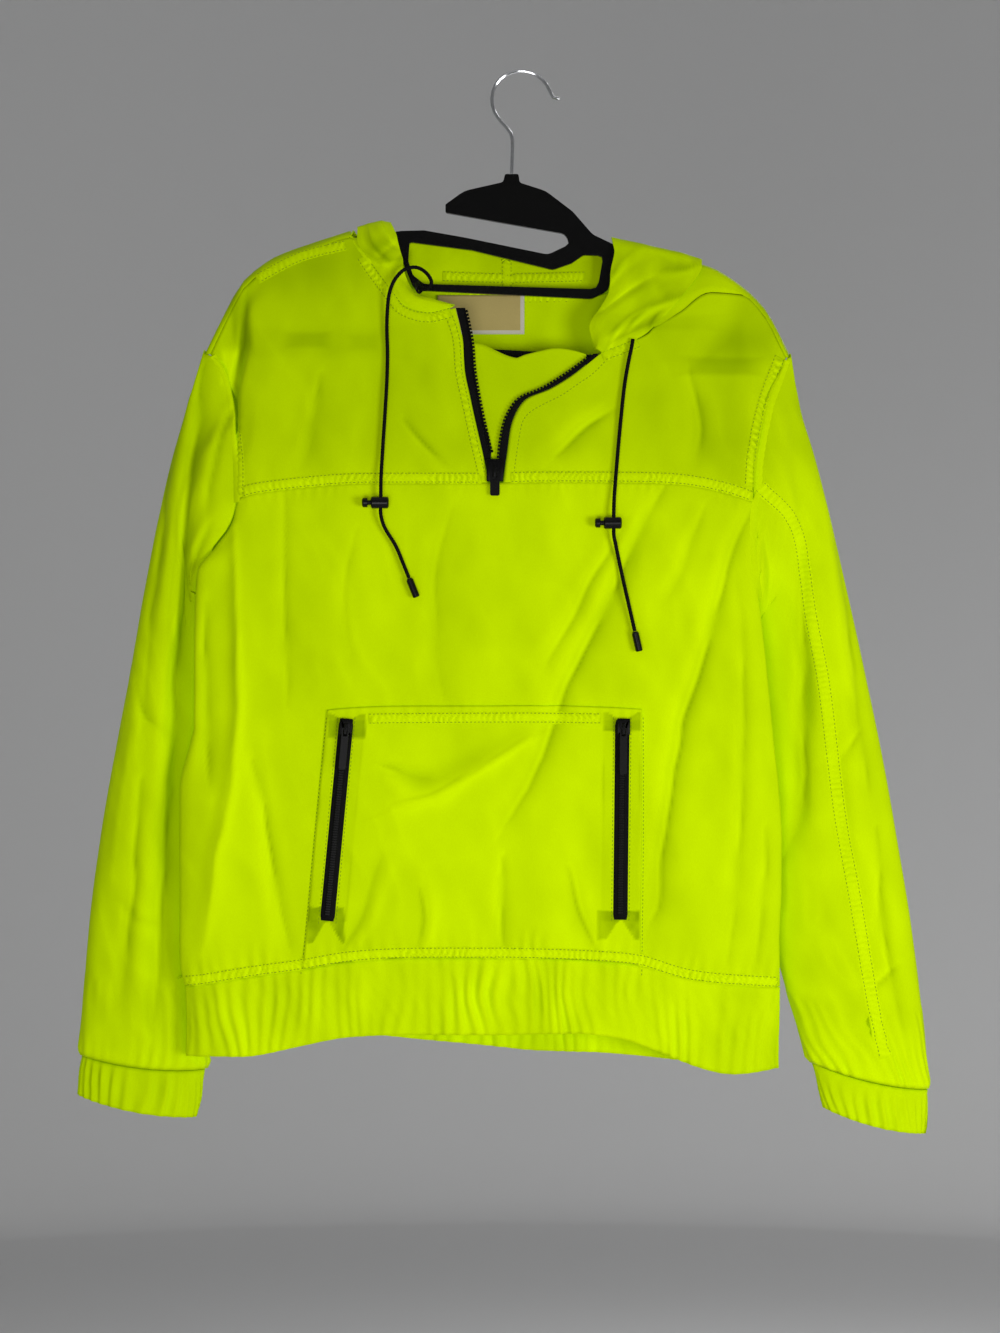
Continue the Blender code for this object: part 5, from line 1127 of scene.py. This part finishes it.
bridges = {                          # rolled edges where two panels meet: line, side, reach
    "armhole_edge_right": (((222, -245), (216, -262), (207, -287), (199, -327), (197, -354),
                            (193.5, -368), (192, -395), (194, -420), (198, -446)), "front", 3.2),
    "armhole_edge_left": (((-263.8, -241), (-258.5, -248.5), (-252.5, -262), (-247, -290),
                           (-243, -330), (-242, -366)), "front", 3.0),
    "armhole_edge_back_right": (((218, -252), (213, -262), (205, -290), (198, -330), (193, -366),
                                 (191, -400)), "back", 3.2),
    "armhole_edge_back_left": (((-258, -254), (-253, -262), (-243, -290), (-242, -330), (-243, -366),
                                (-248, -400)), "back", 3.2),
    "neck_edge_left": (((-145.2, -138.4), (-142.8, -143.5), (-136, -154), (-129, -165)), "front", 3.0)}


rolled = {"step": 1.6, "across": 7, "roll": 0.45, "tuck": 0.25, "passes": 3, "pucker": 0.12,
          "pitch": 6.5, "tone": 0.8}


def addBridge(name, line, aim, reach):
    path = spline(line, rolled["step"])
    ahead = unit(np.gradient(path, axis=0))
    across = np.stack([ahead[:, 1], -ahead[:, 0]], -1)
    way = towards[aim][1]
    rows = []
    for t in np.linspace(-1, 1, rolled["across"]):
        places = path + across * reach * t
        depth = []
        for x, z in places:
            hit = tree.ray_cast(Vector((x, way * rays["from"], z)), Vector((0, -way, 0)))[0]
            depth.append(np.nan if hit is None else hit.y)
        depth = np.array(depth)
        known = ~np.isnan(depth)
        if known.sum() < 2:
            return
        depth = np.interp(np.arange(len(depth)), np.flatnonzero(known), depth[known])
        rows.append(np.stack([places[:, 0], depth, places[:, 1]], -1))
    grid = np.array(rows)
    first, last = grid[0].copy(), grid[-1].copy()
    for i, t in enumerate(np.linspace(0, 1, rolled["across"])):
        level = first[:, 1] * (1 - t) + last[:, 1] * t
        front = np.maximum(way * grid[i, :, 1], way * level) * way
        roll = rolled["roll"] * math.sin(math.pi * t) - rolled["tuck"] * (t in (0, 1))
        grid[i, :, 1] = front + way * roll
    for _ in range(rolled["passes"]):
        grid[:, 1:-1, 1] = (grid[:, :-2, 1] + 2 * grid[:, 1:-1, 1] + grid[:, 2:, 1]) / 4
    run = np.arange(len(path)) * rolled["step"]
    grid[:, :, 1] += way * rolled["pucker"] * np.cos(run * 2 * math.pi / rolled["pitch"])[None]
    piece = addMesh(name, grid.reshape(-1, 3), facesTowards(grid, towards[aim]), "cloth")
    setTone(piece, np.full(grid.shape[:2], rolled["tone"]))


for bridgeName, bridgeSpec in bridges.items():
    addBridge(bridgeName, *bridgeSpec)

placket = {"line": ((-63.5, -209), (-57.5, -229), (-55.2, -257), (-49.2, -285), (-43.2, -313),
                    (-38.4, -333), (-36, -345)), "width": 8.2}
placketPath, placketOut = onCloth(placket["line"], bands["step"])
addBand("placket_band", placketPath, placketOut, width=placket["width"], seed=401, puff=0.55, tone=0.8)

topStitches = {
    "placket_stitches": (((68, -247), (57, -258), (44, -267), (31, -276), (17, -283), (5, -290),
                          (-1, -297), (-4, -308), (-8, -334), (-9, -345)),),
    "pocket_stitches": (((-166, -546), (-175.5, -640), (-184.5, -736), (-188, -765)),
                        ((99.2, -546), (99.4, -640), (98.5, -736), (98, -765)))}
for stitchName, lines in topStitches.items():
    stitchesOn(stitchName, lines)


# Zips: teeth on the tapes' inner edges, and closed zips on the pocket

teeth = {"pitch": 3.1, "size": (3.4, 1.9, 2.0), "lead": 0.15, "rise": 0.5}
neckTape = {"step": 2, "lift": 0.1, "thickness": 1.1}


def blocks(centres, aheads, ups, size, taper=0.8):
    length, width, height = (value / 2 for value in size)
    corners = [(-1, -1, -1), (1, -1, -1), (1, 1, -1), (-1, 1, -1), (-1, -1, 1), (1, -1, 1), (1, 1, 1),
               (-1, 1, 1)]
    local = np.array([(a * length * (1 if c < 0 else taper), b * width * (1 if c < 0 else taper), c * height)
                      for a, b, c in corners])
    quads = np.array([(0, 3, 2, 1), (4, 5, 6, 7), (0, 1, 5, 4), (1, 2, 6, 5), (2, 3, 7, 6), (3, 0, 4, 7)])
    sides = np.cross(aheads, ups)
    points = (centres[:, None] + local[None, :, :1] * sides[:, None] + local[None, :, 1:2] * aheads[:, None]
              + local[None, :, 2:] * ups[:, None])
    faces = quads[None] + 8 * np.arange(len(centres))[:, None, None]
    return points.reshape(-1, 3), faces.reshape(-1, 4)


def rowOf(path, pitch):
    run = runAlong(path)
    at = np.arange(pitch / 2, run[-1], pitch)
    centre = readAt(path, run, at)
    ahead = unit(readAt(path, run, at + 1) - centre + 1e-6)
    return centre, ahead


def addNeckTeeth(side):
    grid = refined(panelGrid("neck_zip_tape_" + side), neckTape["step"], neckTape["step"])
    normals = normalsOf(grid, False, towards["front"])
    lifted = (grid + neckTape["lift"] * normals).reshape(-1, 3)
    tape = addMesh("neck_tape_" + side, lifted, gridFaces(*grid.shape[:2]), "tape")
    thicken(tape, neckTape["thickness"], offset=1)
    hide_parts("neck_zip_tape_" + side)
    path = grid[1:, -1] + normals[1:, -1] * teeth["rise"]
    inward = unit(grid[1:, -1] - grid[1:, 0])
    centre, ahead = rowOf(path, teeth["pitch"])
    nearest = np.argmin(np.linalg.norm(centre[:, None] - path[None], axis=2), axis=1)
    up = unit(np.cross(inward[nearest], ahead))
    up = up * np.sign(-up[:, 1:2])
    points, faces = blocks(centre + inward[nearest] * teeth["lead"], ahead, up, teeth["size"])
    addMesh("neck_teeth_" + side, points, faces, "teeth", smooth=False)


for tapeSide in ("left", "right"):
    addNeckTeeth(tapeSide)

pocketZip = {"left": ((-149.2, -549), (-165.4, -717)), "right": ((81.7, -549), (80.0, -716)),
             "width": 12.2, "samples": 13, "step": 1.5, "coil": 5.6, "rise": 0.9, "lift": 0.9,
             "tuck": 0.9, "tuckWide": 0.1, "ends": 3, "endWidth": 0.86, "pitch": 2.1,
             "tooth": (4.8, 1.1, 0.9), "toothRise": 0.25, "stitchAt": 7.3, "stitchPast": 3}


def addPocketZip(side):
    path, out = onCloth(pocketZip[side], pocketZip["step"])
    half, ends, middle = pocketZip["width"] / 2, pocketZip["ends"], pocketZip["samples"] // 2
    offsets = np.linspace(-half, half, pocketZip["samples"])
    heights = pocketZip["lift"] + pocketZip["rise"] * np.exp(-(offsets / (pocketZip["coil"] / 2)) ** 4)
    heights = heights - pocketZip["tuck"] * (np.abs(offsets) > half - pocketZip["tuckWide"])
    heights = np.tile(heights, (len(path), 1))
    heights[0] = heights[-1] = 0
    step = np.arange(len(path))
    width = smoothStep(step / ends) * smoothStep((len(path) - 1 - step) / ends)
    width = pocketZip["endWidth"] + (1 - pocketZip["endWidth"]) * width
    grid, lift = bandPoints(path, out, offsets, heights)
    spine = grid[:, middle:middle + 1]
    grid = spine + (grid - spine) * width[:, None, None]
    faces = facesTowards(grid, lift[0, 0])
    tape = addMesh("pocket_tape_" + side, grid.reshape(-1, 3), faces, "tape")
    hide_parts("pocket_zip_" + side)
    centre, ahead = rowOf(grid[ends:-ends, middle], pocketZip["pitch"])
    up = np.tile([0.0, -1.0, 0.0], (len(centre), 1))
    points, faces = blocks(centre + up * pocketZip["toothRise"], ahead, up, pocketZip["tooth"])
    addMesh("pocket_teeth_" + side, points, faces, "teeth", smooth=False)
    (topX, top), (lowX, low) = pocketZip[side]
    at, past = pocketZip["stitchAt"], pocketZip["stitchPast"]
    beside = [((topX + shift, top + past), (lowX + shift, low - past)) for shift in (-at, at)]
    stitchesOn("pocket_zip_stitches_" + side, beside)


for zipSide in ("left", "right"):
    addPocketZip(zipSide)
stageNote("zips")


# Label

label = {"border": 3.4, "right": 0.0, "bottom": -221.0, "thickness": 0.6, "step": 1.7,
         "wave": 0.25, "waveSize": (11, 9), "seed": 91}


def addLabel():
    grid = refined(panelGrid("neck_label"), label["step"], label["step"])
    normals = normalsOf(grid, False, towards["front"])
    wave = label["wave"] * noise(grid[..., 0], grid[..., 2], label["waveSize"], label["seed"])
    grid = grid + normals * wave[..., None]
    faces = facesTowards(grid, normals[0, 0])
    piece = addMesh("neck_label_cloth", grid.reshape(-1, 3), faces, "label")
    piece.data.materials.append(materials["labelBorder"])
    centres = grid.reshape(-1, 3)[faces].mean(axis=1)
    edge = (centres[:, 0] > label["right"] - label["border"]) | (
        centres[:, 2] < label["bottom"] + label["border"])
    piece.data.polygons.foreach_set("material_index", edge.astype(int))
    thicken(piece, label["thickness"])
    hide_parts("neck_label")


addLabel()


# Hard pieces: the frame's own forms with their edges eased

eased = {                           # node: body, finish, slot, ease of the edges in millimetres
    "hanger_body": ("root", "hanger", "hanger_plastic", 1.3),
    "hanger_hook": ("root", "hook", "hook", 0.0),
    "cord_lock_left": ("root", "plastic", "plastic", 0.3),
    "cord_lock_right": ("root", "plastic", "plastic", 0.3),
    "cord_end_left": ("root", "plastic", "plastic", 0.25),
    "cord_end_right": ("root", "plastic", "plastic", 0.25),
    "eyelet_left": ("root", "zipMetal", "zip_metal", 0.0),
    "neck_slider": ("root", "zipMetal", "zip_metal", 0.4),
    "pocket_left_slider": ("root", "zipMetal", "zip_metal", 0.4),
    "pocket_right_slider": ("root", "zipMetal", "zip_metal", 0.4),
    "neck_pull": ("neck_pull", "zipMetal", "zip_metal", 0.3),
    "pocket_left_pull": ("pocket_left_pull", "zipMetal", "zip_metal", 0.3),
    "pocket_right_pull": ("pocket_right_pull", "zipMetal", "zip_metal", 0.3),
    "cord_plunger_left": ("cord_plunger_left", "plastic", "plastic", 0.3),
    "cord_plunger_right": ("cord_plunger_right", "plastic", "plastic", 0.3)}


easing = {"merge": 1e-6, "flat": 1.5, "segments": 3, "over": 40, "smooth": 38}     # angles in degrees


def addEased(name, body, matter, slot, ease):
    data = nodes[name].data.copy()
    made = bmesh.new()
    made.from_mesh(data)
    bmesh.ops.remove_doubles(made, verts=made.verts, dist=easing["merge"])
    bmesh.ops.dissolve_limit(made, angle_limit=math.radians(easing["flat"]), verts=made.verts,
                             edges=made.edges)
    made.to_mesh(data)
    made.free()
    data.materials.clear()
    data.materials.append(materials[matter])
    piece = bpy.data.objects.new(name + "_piece", data)
    bpy.context.scene.collection.objects.link(piece)
    if ease:
        bevel = piece.modifiers.new("ease", "BEVEL")
        bevel.width = ease * mm
        bevel.segments = easing["segments"]
        bevel.limit_method = "ANGLE"
        bevel.angle_limit = math.radians(easing["over"])
        bevel.harden_normals = False
    bpy.ops.object.select_all(action="DESELECT")
    piece.select_set(True)
    bpy.context.view_layer.objects.active = piece
    bpy.ops.object.shade_smooth_by_angle(angle=math.radians(easing["smooth"]))
    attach(piece, body)
    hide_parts(name)


for easedName, easedSpec in eased.items():
    addEased(easedName, *easedSpec)
for cordSide in madeCords:
    declareCord(cordSide)
stageNote("hard pieces")


# Cut of each cloth piece, in metres: flat width and length, flat area, how it is held

sheets = {                          # all round on the sleeves and cuffs
    "front_body": ((0.53, 0.42), 0.205, "hung", ("front_yoke_left_cloth", "front_yoke_right_cloth"),
                   ("yoke_seam_left", "yoke_seam_right")),
    "back_body": ((0.56, 0.69), 0.3, "draped", ("hanger_body_piece",),
                  ("shoulder_seam_left", "armhole_edge_back_left", "armhole_edge_back_right")),
    "front_yoke_left": ((0.23, 0.23), 0.039, "hung", ("back_body_cloth",),
                        ("armhole_seam_left", "armhole_edge_left", "neck_seam_left")),
    "front_yoke_right": ((0.22, 0.18), 0.029, "hung", ("back_body_cloth",),
                         ("armhole_seam_right", "armhole_edge_right", "neck_seam_right")),
    "hem_band_front": ((0.6, 0.075), 0.042, "gathered", ("front_body_cloth",), ("hem_seam_front",)),
    "hem_band_back": ((0.6, 0.08), 0.045, "gathered", ("back_body_cloth",), ("hem_seam_back",)),
    "hood_left": ((0.26, 0.38), 0.078, "draped", ("back_body_cloth",),
                  ("hood_casing_inside", "hood_centre_inside", "neck_edge_left")),
    "hood_right": ((0.26, 0.4), 0.09, "draped", ("back_body_cloth",), ("hood_centre_back",)),
    "pocket_panel": ((0.285, 0.218), 0.06, "laid", ("front_body_cloth",), ("pocket_seam_top",)),
    "zip_guard": ((0.1, 0.1), 0.0055, "laid", ("front_yoke_left_cloth", "front_yoke_right_cloth"), ()),
    "sleeve_left": ((0.43, 0.61), 0.115, "hung", ("back_body_cloth",), ("armhole_back_left",)),
    "sleeve_right": ((0.41, 0.63), 0.135, "hung", ("back_body_cloth",),
                     ("armhole_back_right", "sleeve_seam_right")),
    "cuff_left": ((0.26, 0.042), 0.0105, "gathered", ("sleeve_left_cloth",), ()),
    "cuff_right": ((0.25, 0.042), 0.01, "gathered", ("sleeve_right_cloth",), ()),
    "neck_label": ((0.075, 0.034), 0.0025, "laid", ("back_body_cloth",), ())}
for sheetName, (flat, area, held, under, seamsOnIt) in sheets.items():
    withPieces = [seam + end for seam in seamsOnIt for end in ("", "_stitches")
                  if seam + end in bpy.data.objects]
    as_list(under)
stageNote("sheets")


# Stage and light

stage = {"floor": -1.6, "radius": 4.1, "height": 5.2, "flat": 0.74, "flatRings": 0.4, "rings": 24,
         "around": 72, "colour": (0.60, 0.60, 0.605), "roughness": 0.9, "glow": 0.42}
lights = {                          # place, what it is aimed at, size, watts, spread in degrees
    "key": ((1.35, -1.8, -0.85), (0, 0, -0.72), 0.8, 11.5, 130),
    "low": ((-0.3, -2.1, -1.0), (0, 0, -0.8), 0.9, 7, 130),
    "back": ((0.6, 2.3, 0.4), (0, 0, -0.55), 1.6, 10, 130),
    "wall": ((0.9, 0.9, -1.3), (1.2, 3.6, -1.1), 1.4, 17, 170)}


def addStage():
    points, rings, around = [], stage["rings"], stage["around"]
    turnFrom = stage["flatRings"]
    for i in range(rings + 1):
        t = i / rings
        turned = math.pi / 2 * smoothStep((t - turnFrom) / (1 - turnFrom))
        r = stage["radius"] * (min(t / turnFrom, 1) * stage["flat"] + (1 - stage["flat"]) * math.sin(turned))
        z = stage["floor"] + stage["height"] * (1 - math.cos(turned))
        for k in range(around):
            turn = 2 * math.pi * k / around
            points.append((r * math.cos(turn) / mm, r * math.sin(turn) / mm, z / mm))
    mesh = bpy.data.meshes.new("floor")
    mesh.from_pydata((np.array(points) * mm).tolist(), [], gridFaces(rings + 1, around, True).tolist())
    matter = bpy.data.materials.new("floor")
    matter.use_nodes = True
    shader = matter.node_tree.nodes["Principled BSDF"]
    shader.inputs["Base Color"].default_value = (*stage["colour"], 1)
    shader.inputs["Roughness"].default_value = stage["roughness"]
    mesh.materials.append(matter)
    mesh.polygons.foreach_set("use_smooth", [True] * len(mesh.polygons))
    floor = bpy.data.objects.new("floor", mesh)
    bpy.context.scene.collection.objects.link(floor)


def addLight(name, place, aim, size, power, spread):
    data = bpy.data.lights.new(name, "AREA")
    data.size = size
    data.energy = power
    data.spread = math.radians(spread)
    light = bpy.data.objects.new(name, data)
    light.location = place
    light.rotation_euler = (Vector(aim) - Vector(place)).to_track_quat("-Z", "Y").to_euler()
    bpy.context.scene.collection.objects.link(light)


addStage()
for lightName, lightSpec in lights.items():
    addLight(lightName, *lightSpec)
world = bpy.data.worlds.new("studio")
world.use_nodes = True
world.node_tree.nodes["Background"].inputs["Color"].default_value = (1, 1, 1, 1)
world.node_tree.nodes["Background"].inputs["Strength"].default_value = stage["glow"]
bpy.context.scene.world = world
stageNote("lights")
